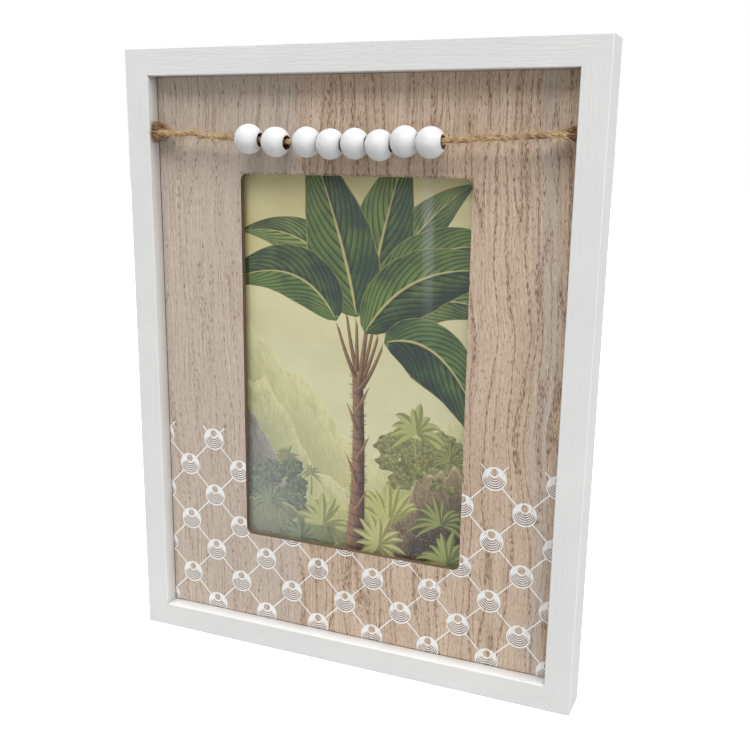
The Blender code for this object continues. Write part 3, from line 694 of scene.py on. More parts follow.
def frond_ink():
    """A feathery frond or a small leaf: two-toned, with leaflets."""
    graph, (share, run, seed), dark, light = plate_surface("frond")
    lobe = abs(share).call("MINIMUM", 1.0)
    leaflet = (run * 16.0 - lobe * 2.2 + seed).fold()
    glow = 0.15 + share.ease(-0.2, 0.2) * 0.45 + leaflet * 0.4 - lobe * 0.15
    tone = graph.mix(glow.limited(), dark, light)
    return printed(graph, graph.mix((1.0 - lobe.ease(0.08, 0.22)) * 0.6, tone, light))


def bark_ink():
    """Trunk and stalks: lit from the right, ringed and fibrous."""
    graph, (share, run, seed), dark, light = plate_surface("bark")
    fibre = graph.noise(share * 5.0, seed, run * 14.0, detail=4.0, rough=0.7)
    ring = (run * seed - share * share * 0.22).fold()
    glow = share.ease(-1.0, 1.0) * 0.70 + (fibre - 0.5) * 1.1 + 0.08
    tone = graph.mix(glow.limited(), dark, light)
    tone = graph.mix(ring.ease(0.80, 0.96) * 0.55, tone, colour(44, 32, 36))
    return printed(graph, tone)


def paper_back():
    graph = material("print_paper")
    x, y, z = graph.place()
    fibre = graph.noise(x * 1.5, y, z * 1.5, detail=4.0, rough=0.7)
    base = graph.mix(fibre, colour(228, 224, 212), colour(240, 237, 228))
    return finish_surface(graph, base, 0.7, fibre, 0.01 * MM)


class Plate:
    """A flat sheet of shapes in millimetres (x, z). The shape laid last is on top."""

    KINDS = ("paper", "sky", "hill", "bush", "leaf", "frond", "bark")

    def __init__(self):
        self.points = []
        self.faces = []
        self.shapes = []

    def lay(self, kind, outline, locate, dark, light, seed=0.0, inner=()):
        """Adds a shape in two screen colours. locate gives each point its two numbers on the shape."""
        area = sum(a[0] * b[1] - b[0] * a[1] for a, b in zip(outline, outline[1:] + outline[:1]))
        if area < 0:
            outline = outline[::-1]
        first = len(self.points)
        self.points += outline
        self.faces.append(list(range(first, first + len(outline))))
        self.points += inner
        self.shapes.append((kind, locate, colour(*dark), colour(*light), seed))

    def mesh(self, name, front, back):
        """The sheet as a thin closed body with the picture on its front."""
        coords, _, faces, _, _, owners = geometry.delaunay_2d_cdt(
            [Vector(point) for point in self.points], [], self.faces, 1, 1e-4)
        kept = [(face, max(own)) for face, own in zip(faces, owners) if 0 in own]
        triangles = [face for face, _ in kept]
        top = [own for _, own in kept]
        flat = np.array([tuple(point) for point in coords])
        directed = {pair for a, b, c in triangles for pair in ((a, b), (b, c), (c, a))}
        following = {a: b for a, b in directed if (b, a) not in directed}
        loop = [next(iter(following))]
        while following[loop[-1]] != loop[0]:
            loop.append(following[loop[-1]])
        front_points = [(x * MM, front, z * MM) for x, z in flat]
        back_points = [(flat[i][0] * MM, back, flat[i][1] * MM) for i in loop]
        start = len(front_points)
        around = len(loop)
        sides = []
        for here in range(around):
            beyond = (here + 1) % around
            sides.append((loop[here], start + here, start + beyond, loop[beyond]))
        rear = [tuple(start + i for i in range(around))[::-1]]
        mesh = bpy.data.meshes.new(name)
        mesh.from_pydata(front_points + back_points, [], triangles + sides + rear)
        slots = [self.KINDS.index(self.shapes[own][0]) for own in top] + [0] * (around + 1)
        mesh.polygons.foreach_set("material_index", slots)
        self.write_attributes(mesh, flat, triangles, top)
        return mesh

    def write_attributes(self, mesh, flat, triangles, top):
        count = len(mesh.loops)
        place = np.zeros((count, 3), np.float32)
        dark, light = np.ones((count, 4), np.float32), np.ones((count, 4), np.float32)
        top = np.array(top)
        corners = np.array(triangles)
        for number, (kind, locate, dark_ink, light_ink, seed) in enumerate(self.shapes):
            mine = np.nonzero(top == number)[0]
            if not len(mine):
                continue
            loops = (mine[:, None] * 3 + np.arange(3)).ravel()
            first, second = locate(flat[corners[mine].ravel()])
            place[loops, 0], place[loops, 1], place[loops, 2] = first, second, seed
            dark[loops, :3], light[loops, :3] = dark_ink, light_ink
        for key, kind, values in (("shape", "FLOAT_VECTOR", place), ("dark", "FLOAT_COLOR", dark),
                                  ("light", "FLOAT_COLOR", light)):
            layer = mesh.attributes.new(key, kind, "CORNER")
            layer.data.foreach_set("vector" if kind == "FLOAT_VECTOR" else "color", values.ravel())


def bezier(start, control, end, count):
    """Points along a quadratic curve."""
    share = np.linspace(0, 1, count)[:, None]
    start, control, end = (np.array(point, float) for point in (start, control, end))
    return start * (1 - share) ** 2 + control * 2 * share * (1 - share) + end * share ** 2


def strip_shape(line, left, right):
    """The outline of a band round a centre line, a way to place any point in it, and points inside it."""
    steps = np.gradient(line, axis=0)
    steps /= np.linalg.norm(steps, axis=1)[:, None]
    sideways = np.stack([-steps[:, 1], steps[:, 0]], axis=1)
    outline = [tuple(point) for point in line + sideways * left[:, None]]
    outline += [tuple(point) for point in (line - sideways * right[:, None])[::-1][1:-1]]
    run = np.linspace(0, 1, len(line))
    inner = []
    for share in (-0.7, -0.35, 0.0, 0.35, 0.7):
        wide = left if share > 0 else right
        inner += [tuple(point) for point in (line + sideways * (wide * share)[:, None])[1:-1]]

    def locate(points):
        start, along = line[:-1], np.diff(line, axis=0)
        length = (along ** 2).sum(1)
        offset = points[:, None, :] - start[None]
        part = np.clip((offset * along[None]).sum(2) / length, 0, 1)
        nearest = start[None] + along[None] * part[..., None]
        away = points[:, None, :] - nearest
        far = (away ** 2).sum(2)
        best = far.argmin(1)
        index = np.arange(len(points))
        where = (best + part[index, best]) / (len(line) - 1)
        gap = away[index, best]
        signed = (gap * sideways[best]).sum(1)
        wide = np.where(signed > 0, np.interp(where, run, left), np.interp(where, run, right))
        return signed / np.maximum(wide, 0.02), where

    return outline, locate, inner


# The picture's palm: veins on a leaf, where a leaf is widest, colours as on a screen, and the old leaf bases
# on the trunk (x, z, side)
LEAF_VEINS = 12.0
LEAF_BELLY = 0.72
LEAF_BASES = ((1.6, 62.0, 1), (0.6, 74.0, -1), (2.2, 84.0, 1), (0.8, 95.0, -1), (2.0, 104.0, 1))
SKY_HIGH = (218, 204, 146)
SKY_LOW = (217, 210, 172)
LEAF_DARK = (46, 74, 54)
LEAF_LIGHT = (112, 138, 64)
STALK_DARK = (84, 56, 50)
STALK_LIGHT = (190, 146, 92)


def add_band(plate, kind, line, left, right, dark, light, seed, filled=True):
    """A band round a centre line, as wide on each side as left and right say."""
    outline, locate, inner = strip_shape(line, left, right)
    plate.lay(kind, outline, locate, dark, light, seed, inner if filled else ())


def add_leaf(plate, stalk, base, control, tip, left, right, dark=LEAF_DARK, light=LEAF_LIGHT):
    """A broad leaf: a stalk from the crown to the blade's base, then the blade along a curve to its tip."""
    seed = (base[0] * 0.37 + tip[1] * 0.11) % 1.0
    middle = ((stalk[0] + base[0]) / 2 + (base[0] - stalk[0]) * 0.10, (stalk[1] + base[1]) / 2 - 1.5)
    line = bezier(stalk, middle, base, 9)
    half = np.linspace(1.05, 0.45, 9)
    add_band(plate, "bark", line, half, half, STALK_DARK, STALK_LIGHT, 0.3)
    line = bezier(base, control, tip, 34)
    run = np.linspace(0, 1, 34)
    bulge = np.sin(np.pi * run ** LEAF_BELLY) ** 0.82
    edge = np.array([noise.noise(Vector((r * 9, seed * 30, 0))) for r in run]) * 0.05 + 1
    left = left * bulge * edge + 0.02
    right = right * bulge * edge[::-1] + 0.02
    add_band(plate, "leaf", line, left, right, dark, light, seed)


def add_land(plate, heights, rough, size, seed, dark, light):
    """A hill: its ridge passes through evenly spaced heights and is roughened."""
    places = np.linspace(-52, 52, 150)
    ridge = np.interp(places, np.linspace(-52, 52, len(heights)), heights)
    ridge = ridge + [noise.fractal(Vector((x / size, seed, 0)), 0.7, 2.1, 5) * rough for x in places]
    outline = [(-52.0, 10.0)] + list(zip(places, ridge)) + [(52.0, 10.0)]
    def locate(points):
        return np.interp(points[:, 0], places, ridge) - points[:, 1], points[:, 0]
    plate.lay("hill", outline, locate, dark, light, seed)


def add_plant(plate, rng, px, pz, radius, fronds, start, end, slim, dark, light, stem=0.0, droop=0.35):
    """A small palm, fern or agave: fronds in a fan between two angles, on a stem."""
    if stem:
        line = bezier((px - 0.6, pz - stem), (px + 0.5, pz - stem / 2), (px, pz), 7)
        half = np.linspace(0.55, 0.3, 7) * (0.6 + radius / 14)
        add_band(plate, "bark", line, half, half, dark, light, 6.0, filled=False)
    order = sorted(range(fronds), key=lambda number: -abs(number - (fronds - 1) / 2))
    for number in order:
        angle = math.radians(start + (end - start) * number / (fronds - 1) + rng.uniform(-6, 6))
        reach = radius * rng.uniform(0.8, 1.1)
        out, up = math.cos(angle) * reach, math.sin(angle) * reach
        tip = (px + out, pz + up - droop * abs(out))
        lift = (px + out * 0.55, pz + up * 0.62 + 0.12 * reach)
        line = bezier((px, pz), lift, tip, 25)
        run = np.linspace(0, 1, 25)
        teeth = 0.72 + 0.28 * (np.arange(25) % 2)
        half = reach * slim * np.sin(np.pi * run ** 0.8) ** 0.8 * teeth + 0.02
        add_band(plate, "frond", line, half, half, dark, light, rng.random(), filled=False)


def add_bushes(plate, rng, x_range, z_range, count, size, dark, light):
    """Clumps of foliage with scalloped edges."""
    for _ in range(count):
        px, pz = rng.uniform(*x_range), rng.uniform(*z_range)
        radius = size * rng.uniform(0.7, 1.3)
        outline = []
        for step in range(26):
            angle = math.tau * step / 26
            reach = radius * (1 + 0.14 * math.sin(angle * 6 + px) + rng.uniform(-0.06, 0.06))
            outline.append((px + math.cos(angle) * reach * 1.2, pz + math.sin(angle) * reach * 0.8))
        def locate(points, top=pz + radius * 0.8, px=px):
            return top - points[:, 1] + abs(points[:, 0] - px) * 0.4, points[:, 0]
        plate.lay("bush", outline, locate, dark, light, rng.uniform(0, 50))


def add_trunk(plate, rng):
    """The ringed trunk with old leaf bases and bristles down both sides."""
    foot, top = 42.0, 120.0
    line = bezier((0.2, foot), (3.0, (foot + top) / 2), (1.0, top), 40)
    run = np.linspace(0, 1, 40)
    half = 2.7 + 2.3 * np.exp(-run * 4.0) - 0.5 * run
    for side in (-1, 1):
        for _ in range(80):
            spot = rng.randrange(2, 39)
            x, z = line[spot]
            x += side * (half[spot] - 0.3)
            z += rng.uniform(-1, 1)
            reach = rng.uniform(1.1, 2.4)
            tip = (x + side * reach, z + rng.uniform(0.1, 0.9))
            plate.lay("bark", [(x, z - 0.16), tip, (x, z + 0.16)], lambda p: (p[:, 0] * 0, p[:, 0] * 0 + 0.5),
                      STALK_DARK, STALK_LIGHT, 0.4)
    add_band(plate, "bark", line, half, half, (46, 34, 44), (178, 136, 108), 17.0)
    for number, (x, z, side) in enumerate(LEAF_BASES):
        reach = 5.5 + number % 2
        tip = (x + side * 4.4, z + reach * 1.9)
        sheath = bezier((x - side * 0.6, z), (x + side * 1.6, z + reach), tip, 12)
        width = np.linspace(1.9, 0.12, 12)
        add_band(plate, "bark", sheath, width * 0.6, width * 0.6, (92, 64, 58), (206, 158, 108), 0.3)


def add_landscape(plate):
    """From far to near: hazy hills, a cliff and a wood, undergrowth and rocks, and the palm's trunk."""
    rng = random.Random(3)
    cream, haze = (228, 221, 176), (190, 184, 134)
    add_land(plate, (136, 131, 116, 110, 94, 86, 92, 100, 104, 106), 5.0, 14, 2.0, haze, cream)
    slope_dark, slope_light = (172, 172, 122), (222, 216, 168)
    add_land(plate, (112, 112, 98, 78, 72, 80, 86, 94, 98, 100), 4.0, 11, 9.0, slope_dark, slope_light)
    add_plant(plate, rng, -30, 80, 6.5, 13, -20, 200, 0.10, (112, 118, 86), (158, 160, 112), 14)
    add_plant(plate, rng, -19, 75, 5.0, 11, -20, 200, 0.10, (124, 128, 92), (166, 166, 118), 12)
    add_land(plate, (76, 74, 70, 66, 64, 68, 80, 88, 92, 90), 2.5, 8, 5.0, (150, 150, 98), (206, 200, 142))
    add_bushes(plate, rng, (12, 50), (76, 96), 30, 4.6, (112, 112, 72), (204, 198, 138))
    add_plant(plate, rng, 26, 98, 12, 10, -25, 205, 0.17, (108, 118, 68), (198, 196, 128), 30)
    add_plant(plate, rng, 40, 88, 9, 13, -10, 190, 0.08, (84, 90, 58), (170, 168, 106), 14)
    add_land(plate, (106, 92, 66, 50, 46, 44, 44, 44, 44, 44), 3.5, 7, 14.0, (82, 82, 86), (172, 166, 148))
    add_bushes(plate, rng, (-50, -24), (56, 78), 34, 3.8, (66, 80, 64), (158, 168, 126))
    add_land(plate, (60, 62, 60, 57, 54, 56, 58, 60, 62, 60), 2.0, 7, 21.0, (84, 92, 66), (150, 154, 104))
    add_land(plate, (40, 42, 42, 44, 46, 48, 62, 82, 84, 82), 4.0, 5, 31.0, (66, 54, 50), (176, 152, 120))
    add_bushes(plate, rng, (26, 50), (76, 88), 10, 2.4, (96, 96, 58), (190, 184, 118))
    add_plant(plate, rng, -14, 54, 14, 9, 10, 170, 0.14, (112, 116, 68), (208, 206, 140), droop=0.2)
    add_plant(plate, rng, 15, 58, 18, 9, 35, 150, 0.10, (120, 122, 66), (216, 210, 140), droop=0.1)
    add_plant(plate, rng, 37, 62, 13, 12, -15, 195, 0.10, (52, 68, 44), (172, 174, 108))
    add_plant(plate, rng, -38, 60, 10, 11, -10, 190, 0.12, (68, 82, 62), (150, 160, 112))
    add_trunk(plate, rng)
    add_plant(plate, rng, 11, 50, 12, 13, -60, 235, 0.15, (112, 114, 66), (222, 216, 152), droop=0.0)
    add_plant(plate, rng, -24, 46, 11, 10, 0, 180, 0.14, (66, 84, 58), (150, 160, 108))
    add_plant(plate, rng, 40, 46, 15, 12, 0, 180, 0.11, (78, 96, 52), (188, 192, 118))


def add_crown(plate):
    """The palm's leaves, from those behind to those in front."""
    pale = (140, 158, 84)
    add_leaf(plate, (2, 118), (5, 143), (22, 178), (46, 192), 9.0, 9.0, light=pale)
    add_leaf(plate, (1, 118), (-4, 144), (-14, 178), (-50, 172), 10.0, 9.0, light=pale)
    add_leaf(plate, (2, 118), (5.5, 142), (8, 168), (21, 208), 14.0, 13.0, light=(122, 144, 70))
    add_leaf(plate, (2, 116), (8, 140), (26, 178), (62, 168), 10.0, 10.0)
    add_leaf(plate, (1, 118), (0.5, 141), (-4, 168), (-20, 208), 15.0, 14.0, light=(112, 136, 62))
    add_leaf(plate, (1, 116), (-8, 139), (-24, 168), (-60, 150), 9.5, 12.0, dark=(28, 54, 50))
    add_leaf(plate, (2, 114), (10, 136), (32, 160), (64, 142), 10.0, 8.0, light=pale)
    add_leaf(plate, (2, 114), (4, 135), (22, 168), (64, 160), 11.0, 13.0, dark=(26, 52, 42))
    add_leaf(plate, (2, 112), (12, 132), (40, 142), (56, 90), 10.5, 14.0, dark=(24, 50, 48),
             light=(96, 128, 66))


def make_print():
    low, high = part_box("picture_print")
    left, right, foot, top = low.x / MM, high.x / MM, low.z / MM, high.z / MM
    plate = Plate()
    corners = [(left, foot), (right, foot), (right, top), (left, top)]
    plate.lay("sky", corners, lambda points: (points[:, 0], points[:, 1]), SKY_HIGH, SKY_LOW)
    add_landscape(plate)
    add_crown(plate)
    made = add_object("picture_print_plate", plate.mesh("picture_print_plate", low.y, high.y))
    for surface in (paper_back(), sky_ink(), hill_ink(), bush_ink(), leaf_ink(), frond_ink(), bark_ink()):
        made.data.materials.append(surface)
    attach(made, "root")
    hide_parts("picture_print")


# ---------------------------------------------------------------- meshes

def add_object(name, data):
    """A new object in the scene."""
    made = bpy.data.objects.new(name, data)
    bpy.context.scene.collection.objects.link(made)
    return made


def sheet_object(name, bm, surface, body, nodes, smooth_angle=40):
    """A finished piece from a bmesh: it rides on a body and stands for the CAD nodes named."""
    mesh = bpy.data.meshes.new(name)
    bm.to_mesh(mesh)
    bm.free()
    mesh.shade_smooth()
    mesh.set_sharp_from_angle(angle=math.radians(smooth_angle))
    mesh.materials.append(surface)
    made = add_object(name, mesh)
    level = made.modifiers.new("flat_faces_stay_flat", "WEIGHTED_NORMAL")
    level.keep_sharp = True
    level.weight = 100
    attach(made, body)
    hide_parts(*nodes)


def clean_shape(node):
    """The CAD node's shape as a bmesh with joined corners and whole flat faces."""
    bm = bmesh.new()
    bm.from_mesh(frame["nodes"][node].data)
    bmesh.ops.remove_doubles(bm, verts=bm.verts, dist=0.001 * MM)
    bmesh.ops.dissolve_limit(bm, angle_limit=math.radians(0.5), verts=bm.verts, edges=bm.edges)
    return bm


def ease_edges(bm, width, segments=3, skip=None):
    """Rounds every sharp edge, except where skip holds at both ends."""
    sharp = [edge for edge in bm.edges if edge.is_manifold and edge.calc_face_angle() > SHARP_EDGE]
    if skip:
        sharp = [edge for edge in sharp if not all(skip(vert.co) for vert in edge.verts)]
    bmesh.ops.bevel(bm, geom=sharp, offset=width, segments=segments, profile=0.5, affect="EDGES",
                    clamp_overlap=True)


def cut_across(bm, axis, spacing):
    """Adds edge loops across the shape, evenly along an axis (0 for X, 2 for Z)."""
    places = [vert.co[axis] for vert in bm.verts]
    low, high = min(places), max(places)
    count = max(2, round((high - low) / spacing))
    normal = Vector((0, 0, 0))
    normal[axis] = 1
    for step in range(1, count):
        middle = normal * (low + (high - low) * step / count)
        bmesh.ops.bisect_plane(bm, geom=bm.verts[:] + bm.edges[:] + bm.faces[:], plane_co=middle,
                               plane_no=normal, dist=0.001 * MM)


def refined(node, surface, ease):
    """The CAD node's own shape with eased edges."""
    bm = clean_shape(node)
    ease_edges(bm, ease)
    body = frame["nodes"][node]["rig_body"]
    sheet_object(node + "_finish", bm, surface, body, [node])


def on_mitre(point):
    """Whether a point lies on the plane where two rails meet."""
    low, high = cad_box
    from_side = min(point.x - low.x, high.x - point.x)
    from_end = min(point.z - low.z, high.z - point.z)
    return abs(from_side - from_end) < MITRE_REACH


def painted_rail(name, surface, axis):
    """A rail with crisp edges and slightly uneven faces. Paint fills the mitres, so they hardly show."""
    bm = clean_shape(name)
    ease_edges(bm, RAIL_EASE, segments=2, skip=on_mitre)
    cut_across(bm, axis, RAIL_LOOPS)
    ends = {vert for vert in bm.verts if on_mitre(vert.co)}
    for vert in bm.verts:
        vert.co += noise.noise_vector(vert.co / RAIL_WAVE) * RAIL_WAVE_HEIGHT
    for vert in ends:
        vert.co[axis] += math.copysign(MITRE_FILL, vert.co[axis] - (cad_box[0][axis] + cad_box[1][axis]) / 2)
    sheet_object(name + "_finish", bm, surface, "root", [name])


def node_points(node):
    return np.array([vert.co for vert in frame["nodes"][node].data.vertices])


def bead_measures(node):
    """The middle of a bead, the direction of its bore and the bore's radius, from its CAD shape."""
    points = node_points(node)
    low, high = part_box(node)
    middle = (low + high) / 2
    spread = (points - points.mean(0)).T @ (points - points.mean(0))
    _, directions = np.linalg.eigh(spread)
    axis = max(directions.T, key=lambda way: abs(way[0]))
    axis = axis * math.copysign(1, axis[0])
    centred = points - np.array(middle)
    bore = np.linalg.norm(centred - np.outer(centred @ axis, axis), axis=1).min()
    return middle, Vector(axis), bore


def bead_profile(radius, half_length, bore):
    """Points (along, out, bore share) round the bead's section: over the outside, back through the bore."""
    crown = half_length * BEAD_CROWN
    reach = half_length / math.sqrt(1 - ((bore + BEAD_RIM) / radius) ** 2)
    outside = []
    for step in range(BEAD_STEPS + 1):
        along = -crown * math.cos(math.pi * step / BEAD_STEPS)
        out = radius * math.sqrt(1 - (along / reach) ** 2)
        outside.append((along, out, RIM_SHARE * (abs(along) / half_length) ** 10))

    def lip(end, start_out):
        """The rounded edge between the outside and the bore."""
        width = start_out - bore
        turn = []
        for step in range(1, LIP_STEPS + 1):
            angle = math.pi / 2 * step / LIP_STEPS
            swell = (half_length - crown) * math.sin(angle)
            along = end * (crown + swell - 0.5 * width * (1 - math.cos(angle)))
            share = RIM_SHARE + (1 - RIM_SHARE) * step / LIP_STEPS
            turn.append((along, start_out - width * math.sin(angle), share))
        return turn

    inner = []
    for place in (0.6, 0.2, -0.2, -0.6):
        inner.append((place * half_length, bore * (1 - 0.04 * math.cos(3 * place)), 1.0))
    return outside + lip(1, outside[-1][1]) + inner + lip(-1, outside[0][1])[::-1]


def make_bead(node, surface):
    """A bead turned from its profile, with slightly uneven paint on the outside."""
    middle, axis, bore = bead_measures(node)
    low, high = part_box(node)
    radius = (high.y - low.y) / 2 - BEAD_PAINT_ROOM
    profile = bead_profile(radius, (high.x - low.x) / 2 - BEAD_END_ROOM, bore)
    turn = axis.to_track_quat("X", "Z").to_matrix()
    bm = bmesh.new()
    layer = bm.verts.layers.float.new("bore")
    rows = []
    for step in range(BEAD_SEGMENTS):
        angle = math.tau * step / BEAD_SEGMENTS
        outward = turn @ Vector((0, math.cos(angle), math.sin(angle)))
        row = []
        for along, away, share in profile:
            point = middle + turn @ Vector((along, 0, 0)) + outward * away
            if share < 0.5:
                bump = noise.noise(point / (2.4 * MM)) * 0.05 + noise.noise(point / (5 * MM)) * 0.08
                point -= outward * (0.09 + bump) * MM
            vert = bm.verts.new(point)
            vert[layer] = share
            row.append(vert)
        rows.append(row)
    for here, beyond in zip(rows, rows[1:] + rows[:1]):
        for index in range(-1, len(profile) - 1):
            bm.faces.new((here[index], here[index + 1], beyond[index + 1], beyond[index]))
    bmesh.ops.recalc_face_normals(bm, faces=bm.faces)
    body = frame["nodes"][node]["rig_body"]
    sheet_object(node + "_turned", bm, surface, body, [node], 75)


# ---------------------------------------------------------------- the cord

def centreline(node, count):
    """Evenly spaced points along the middle of a tube that runs mainly along X."""
    points = node_points(node)
    places = np.linspace(points[:, 0].min(), points[:, 0].max(), 90)
    reach = (places[1] - places[0]) * 1.5
    middles = []
    for place in places:
        near = points[abs(points[:, 0] - place) < reach]
        if len(near) > 5:
            middles.append((place, *((near[:, 1:].min(0) + near[:, 1:].max(0)) / 2)))
    middles = np.array(middles)
    steps = np.concatenate(([0], np.cumsum(np.linalg.norm(np.diff(middles, axis=0), axis=1))))
    even = np.linspace(0, steps[-1], count)
    line = np.stack([np.interp(even, steps, middles[:, axis]) for axis in range(3)], axis=1)
    smooth = np.ones(9) / 9
    padded = np.pad(line, ((4, 4), (0, 0)), mode="edge")
    eased = np.stack([np.convolve(padded[:, axis], smooth, "valid") for axis in range(3)], axis=1)
    eased[0], eased[-1] = line[0], line[-1]
    return eased, even


def sides_of(direction):
    """Two directions square to the one given."""
    up = Vector((0, 0, 1)) if abs(direction.z) < 0.9 else Vector((1, 0, 0))
    first = direction.cross(up).normalized()
    return first, direction.cross(first).normalized()


def add_tube(bm, layers, path, radii, sides, squash=1.0):
    """A tube along the path, with its run and its angle kept as attributes for the fibres."""
    along_layer, around_layer = layers
    rows = []
    run = 0.0
    for index, point in enumerate(path):
        ahead = path[min(index + 1, len(path) - 1)]
        behind = path[max(index - 1, 0)]
        direction = (ahead - behind).normalized()
        first, second = sides_of(direction)
        if index:
            run += (point - path[index - 1]).length
        row = []
        for step in range(sides):
            angle = math.tau * step / sides
            offset = first * math.cos(angle) * squash + second * math.sin(angle)
            vert = bm.verts.new(point + offset * radii[index])
            vert[along_layer] = run
            vert[around_layer] = abs(step / sides - 0.5) * 2
            row.append(vert)
        rows.append(row)
    for before, after in zip(rows, rows[1:]):
        for step in range(sides):
            following = (step + 1) % sides
            bm.faces.new((before[step], before[following], after[following], after[step]))
    bm.faces.new(rows[0][::-1])
    bm.faces.new(rows[-1])


def new_tubes():
    bm = bmesh.new()
    return bm, (bm.verts.layers.float.new("along"), bm.verts.layers.float.new("around"))


def loose_fibre(rng, start, direction, length, curl, radius, bm, layers):
    """A thin fibre that starts on the cord and curls away."""
    path = [start.copy()]
    heading = direction.normalized()
    first, second = sides_of(heading)
    swing = first * rng.uniform(-1, 1) + second * rng.uniform(-1, 1)
    for _ in range(FIBRE_STEPS):
        shake = Vector([rng.gauss(0, 0.06) for _ in range(3)])
        heading = (heading + swing * curl / FIBRE_STEPS + shake).normalized()
        path.append(path[-1] + heading * length / FIBRE_STEPS)
    radii = [radius * (1 - 0.75 * index / FIBRE_STEPS) for index in range(FIBRE_STEPS + 1)]
    add_tube(bm, layers, path, radii, 4)


def hold_in_recess(bm):
    """Lays points that would be inside the panel or a rail against its surface instead."""
    front = cad_box[0].y + FIBRE_ROOM
    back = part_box("front_panel")[0].y - FIBRE_ROOM
    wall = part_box("glue_spot_right")[1].x - FIBRE_ROOM
    for vert in bm.verts:
        vert.co.x = max(-wall, min(wall, vert.co.x))
        vert.co.y = max(front, min(back, vert.co.y))


def make_cord(line, run, surface):
    """Three twisted strands of jute."""
    bm, layers = new_tubes()
    tangents = np.gradient(line, axis=0)
    for strand in range(STRANDS):
        path, radii = [], []
        for index, middle in enumerate(line):
            direction = Vector(tangents[index]).normalized()
            first, second = sides_of(direction)
            wobble = noise.noise(Vector((run[index] * 300, strand * 5.0, 0)))
            angle = math.tau * (run[index] / LAY_LENGTH + strand / STRANDS) + wobble * 0.5
            offset = STRAND_OFFSET * (1 + 0.12 * noise.noise(Vector((run[index] * 600, strand * 9.0, 4))))
            path.append(Vector(middle) + (first * math.cos(angle) + second * math.sin(angle)) * offset)
            fat = 1 + 0.16 * noise.noise(Vector((run[index] * 900, strand * 3.0, 8)))
            radii.append(STRAND_RADIUS * fat)
        add_tube(bm, layers, path, radii, 10)
    sheet_object("jute_cord_twisted", bm, surface, "root", ["jute_cord"], 80)


def make_stray_fibres(line, surface):
    """Loose fibres on the open lengths of the cord, most of them in front of it."""
    rng = random.Random(7)
    tangents = np.gradient(line, axis=0)
    bm, layers = new_tubes()
    bead_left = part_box("bead_1")[0].x
    bead_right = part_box("bead_8")[1].x
    open_spots = [i for i, point in enumerate(line) if point[0] < bead_left or point[0] > bead_right]
    for _ in range(STRAY_FIBRES):
        index = rng.choice(open_spots)
        direction = Vector(tangents[index]).normalized() * rng.choice((-1, 1))
        first, second = sides_of(direction)
        angle = rng.uniform(0, math.tau)
        out = first * math.cos(angle) + second * math.sin(angle)
        out.y = -abs(out.y) if rng.random() < 0.7 else out.y * 0.3
        start = Vector(line[index]) + out * STRAND_OFFSET * 1.4
        long = rng.random() < LONG_FIBRES
        length = rng.uniform(*(LONG_REACH if long else SHORT_REACH))
        lift = rng.uniform(0.2, 0.8) if long else rng.uniform(0.15, 0.8)
        loose_fibre(rng, start, direction + out * lift, length, rng.uniform(0.2, 1.6),
                    FIBRE_RADIUS * rng.uniform(0.8, 1.5), bm, layers)
    hold_in_recess(bm)
    sheet_object("jute_fibres", bm, surface, "root", [], 80)


def make_tuft(node, side, surface):
    """The frayed cord end, spread and glued against the rail's inner face."""
    rng = random.Random(20 + side)
    low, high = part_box(node)
    middle = (low + high) / 2
    wall = low.x if side < 0 else high.x
    bm, layers = new_tubes()
    for _ in range(TUFT_FIBRES[side]):
        spread = Vector((0, rng.uniform(-0.9, 0.5), max(-1.9, min(1.9, rng.gauss(0, 0.9)))))
        start = Vector((wall - side * rng.uniform(*TUFT_START), middle.y + rng.gauss(0, 0.25) * MM,
                        middle.z + rng.gauss(0, 0.40) * MM))
        end = Vector((wall - side * rng.uniform(*TUFT_END), middle.y + spread.y * TUFT_DEPTH,
                      middle.z + spread.z * TUFT_SPREAD[side]))
        bow = Vector((0, rng.gauss(0, 0.5), rng.gauss(0, 0.6))) * MM
        path = []
        for step in range(FIBRE_STEPS + 1):
            share = step / FIBRE_STEPS
            path.append(start.lerp(end, share) + bow * math.sin(math.pi * share)
                        + Vector((0, 0, 1)) * spread.z * TUFT_BELLY[side] * (share - share ** 2))
        radii = [FIBRE_RADIUS * rng.uniform(1.0, 2.2)] * (FIBRE_STEPS + 1)
        add_tube(bm, layers, path, radii, 4)
    hold_in_recess(bm)
    sheet_object(node + "_tuft", bm, surface, "root", [], 80)


# ---------------------------------------------------------------- stage

def add_sun(name, direction, strength, spread):
    """A broad, even light from a direction, as from a large softbox far away."""
    data = bpy.data.lights.new(name, "SUN")
    data.energy = strength
    data.angle = math.radians(spread)
    lamp = add_object(name, data)
    lamp.rotation_euler = Vector(direction).to_track_quat("Z", "Y").to_euler()


def make_floor():
    """A pale floor. It glows a little to the camera, and throws less light back than it shows."""
    foot = cad_box[0].z
    mesh = bpy.data.meshes.new("floor")
    corners = [(x * FLOOR_REACH, y * FLOOR_REACH, foot) for x, y in ((-1, -1), (1, -1), (1, 1), (-1, 1))]
    mesh.from_pydata(corners, [], [(0, 1, 2, 3)])
    graph = material("pale_floor")
    x, y, _ = graph.place()
    cloud = graph.noise(x * 0.004, y * 0.004, 0.0)
    seen = graph.read("ShaderNodeLightPath", "Is Camera Ray")
    pale = graph.mix(cloud, (0.93, 0.93, 0.93), (0.95, 0.95, 0.95))
    tone = graph.mix(seen, (FLOOR_BOUNCE, FLOOR_BOUNCE, FLOOR_BOUNCE), pale)
    finish_surface(graph, tone, 0.8, shine=0.1, glow=seen * FLOOR_GLOW, glow_colour=(1.0, 1.0, 1.0))
    mesh.materials.append(graph.material)
    add_object("floor", mesh)


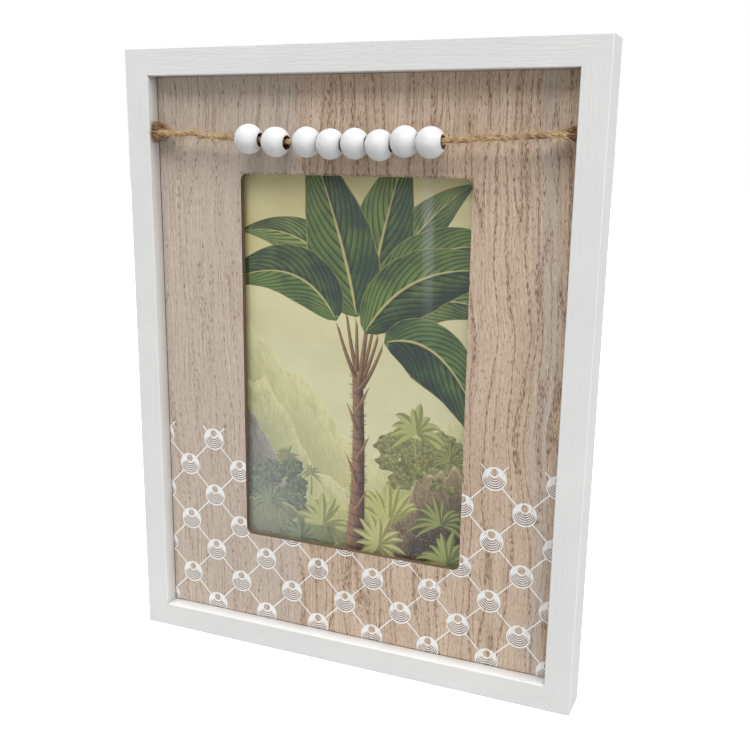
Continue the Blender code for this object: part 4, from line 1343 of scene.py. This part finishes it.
def make_sky():
    """White to the camera, and a weaker white light on the object."""
    world = bpy.data.worlds.new("studio")
    world.use_nodes = True
    graph = Graph(world.node_tree)
    background = world.node_tree.nodes["Background"]
    seen = graph.read("ShaderNodeLightPath", "Is Camera Ray")
    graph.put(background.inputs["Color"], (1.0, 1.0, 1.0))
    graph.put(background.inputs["Strength"], SKY_LIGHT + seen * (BACKDROP_BRIGHTNESS - SKY_LIGHT))
    bpy.context.scene.world = world


def make_camera():
    """The photo's camera, as fitted to the frame's corners in the photo."""
    data = bpy.data.cameras.new("camera")
    data.lens = CAMERA_LENS
    data.shift_x, data.shift_y = CAMERA_SHIFT
    data.clip_start = 0.01
    camera = add_object("camera", data)
    camera.matrix_world = (Matrix.Translation(CAMERA_PLACE) @ Matrix.Rotation(CAMERA_TURN, 4, "Z")
                           @ Matrix.Rotation(CAMERA_TILT, 4, "X") @ Matrix.Rotation(CAMERA_ROLL, 4, "Z"))
    bpy.context.scene.camera = camera
    bpy.context.scene.view_settings.view_transform = "Standard"


def make_stage():
    make_floor()
    make_sky()
    for name, (direction, strength, spread) in SUNS.items():
        add_sun(name, direction, strength, spread)
    make_camera()


# ---------------------------------------------------------------- the object

def dress(node, surface):
    """Gives a CAD node that stays shown its material."""
    mesh = frame["nodes"][node].data
    mesh.materials.clear()
    mesh.materials.append(surface)


def build():
    paint = {"X": paint_material("white_paint_across", "X"), "Z": paint_material("white_paint_up", "Z")}
    for name in ("top", "bottom", "left", "right"):
        axis = "X" if name in ("top", "bottom") else "Z"
        painted_rail("rail_" + name, paint[axis], "XYZ".index(axis))
    refined("front_panel", veneer_material(), 0.12 * MM)
    dress("glass_pane", glass_material())
    make_print()

    bead_surface = bead_material()
    for number in range(1, 9):
        make_bead(f"bead_{number}", bead_surface)
    jute = jute_material("jute", colour(214, 186, 142), colour(142, 108, 73))
    fibres = jute_material("jute_fibre", colour(234, 212, 172), colour(190, 158, 116))
    frayed = jute_material("jute_frayed", colour(186, 146, 102), colour(96, 64, 40), 0.85)
    line, run = centreline("jute_cord", CORD_STEPS)
    make_cord(line, run, jute)
    make_stray_fibres(line, fibres)
    glue = glue_material()
    for side, node in ((-1, "glue_spot_left"), (1, "glue_spot_right")):
        refined(node, glue, 0.05 * MM)
        make_tuft(node, side, frayed)

    grey = board_material("grey_card", colour(176, 170, 158), colour(150, 144, 134), colour(112, 106, 98))
    brown = board_material("fibreboard", colour(176, 140, 102), colour(158, 120, 84), colour(112, 80, 54))
    refined("spacer_board", grey, 0.10 * MM)
    refined("backing_board", brown, 0.20 * MM)
    refined("strut_leg", brown, 0.25 * MM)

    zinc = metal_material("zinc", (0.60, 0.60, 0.585))
    bright = metal_material("bright_steel", (0.78, 0.78, 0.78), "X")
    for node in SHEET_PARTS:
        refined(node, zinc, 0.08 * MM)
    for node in ROUND_PARTS:
        refined(node, bright, 0.05 * MM)
    for place in ("bottom_left", "bottom_right", "top_left", "top_right"):
        dress("v_nail_" + place, zinc)


build()
make_stage()
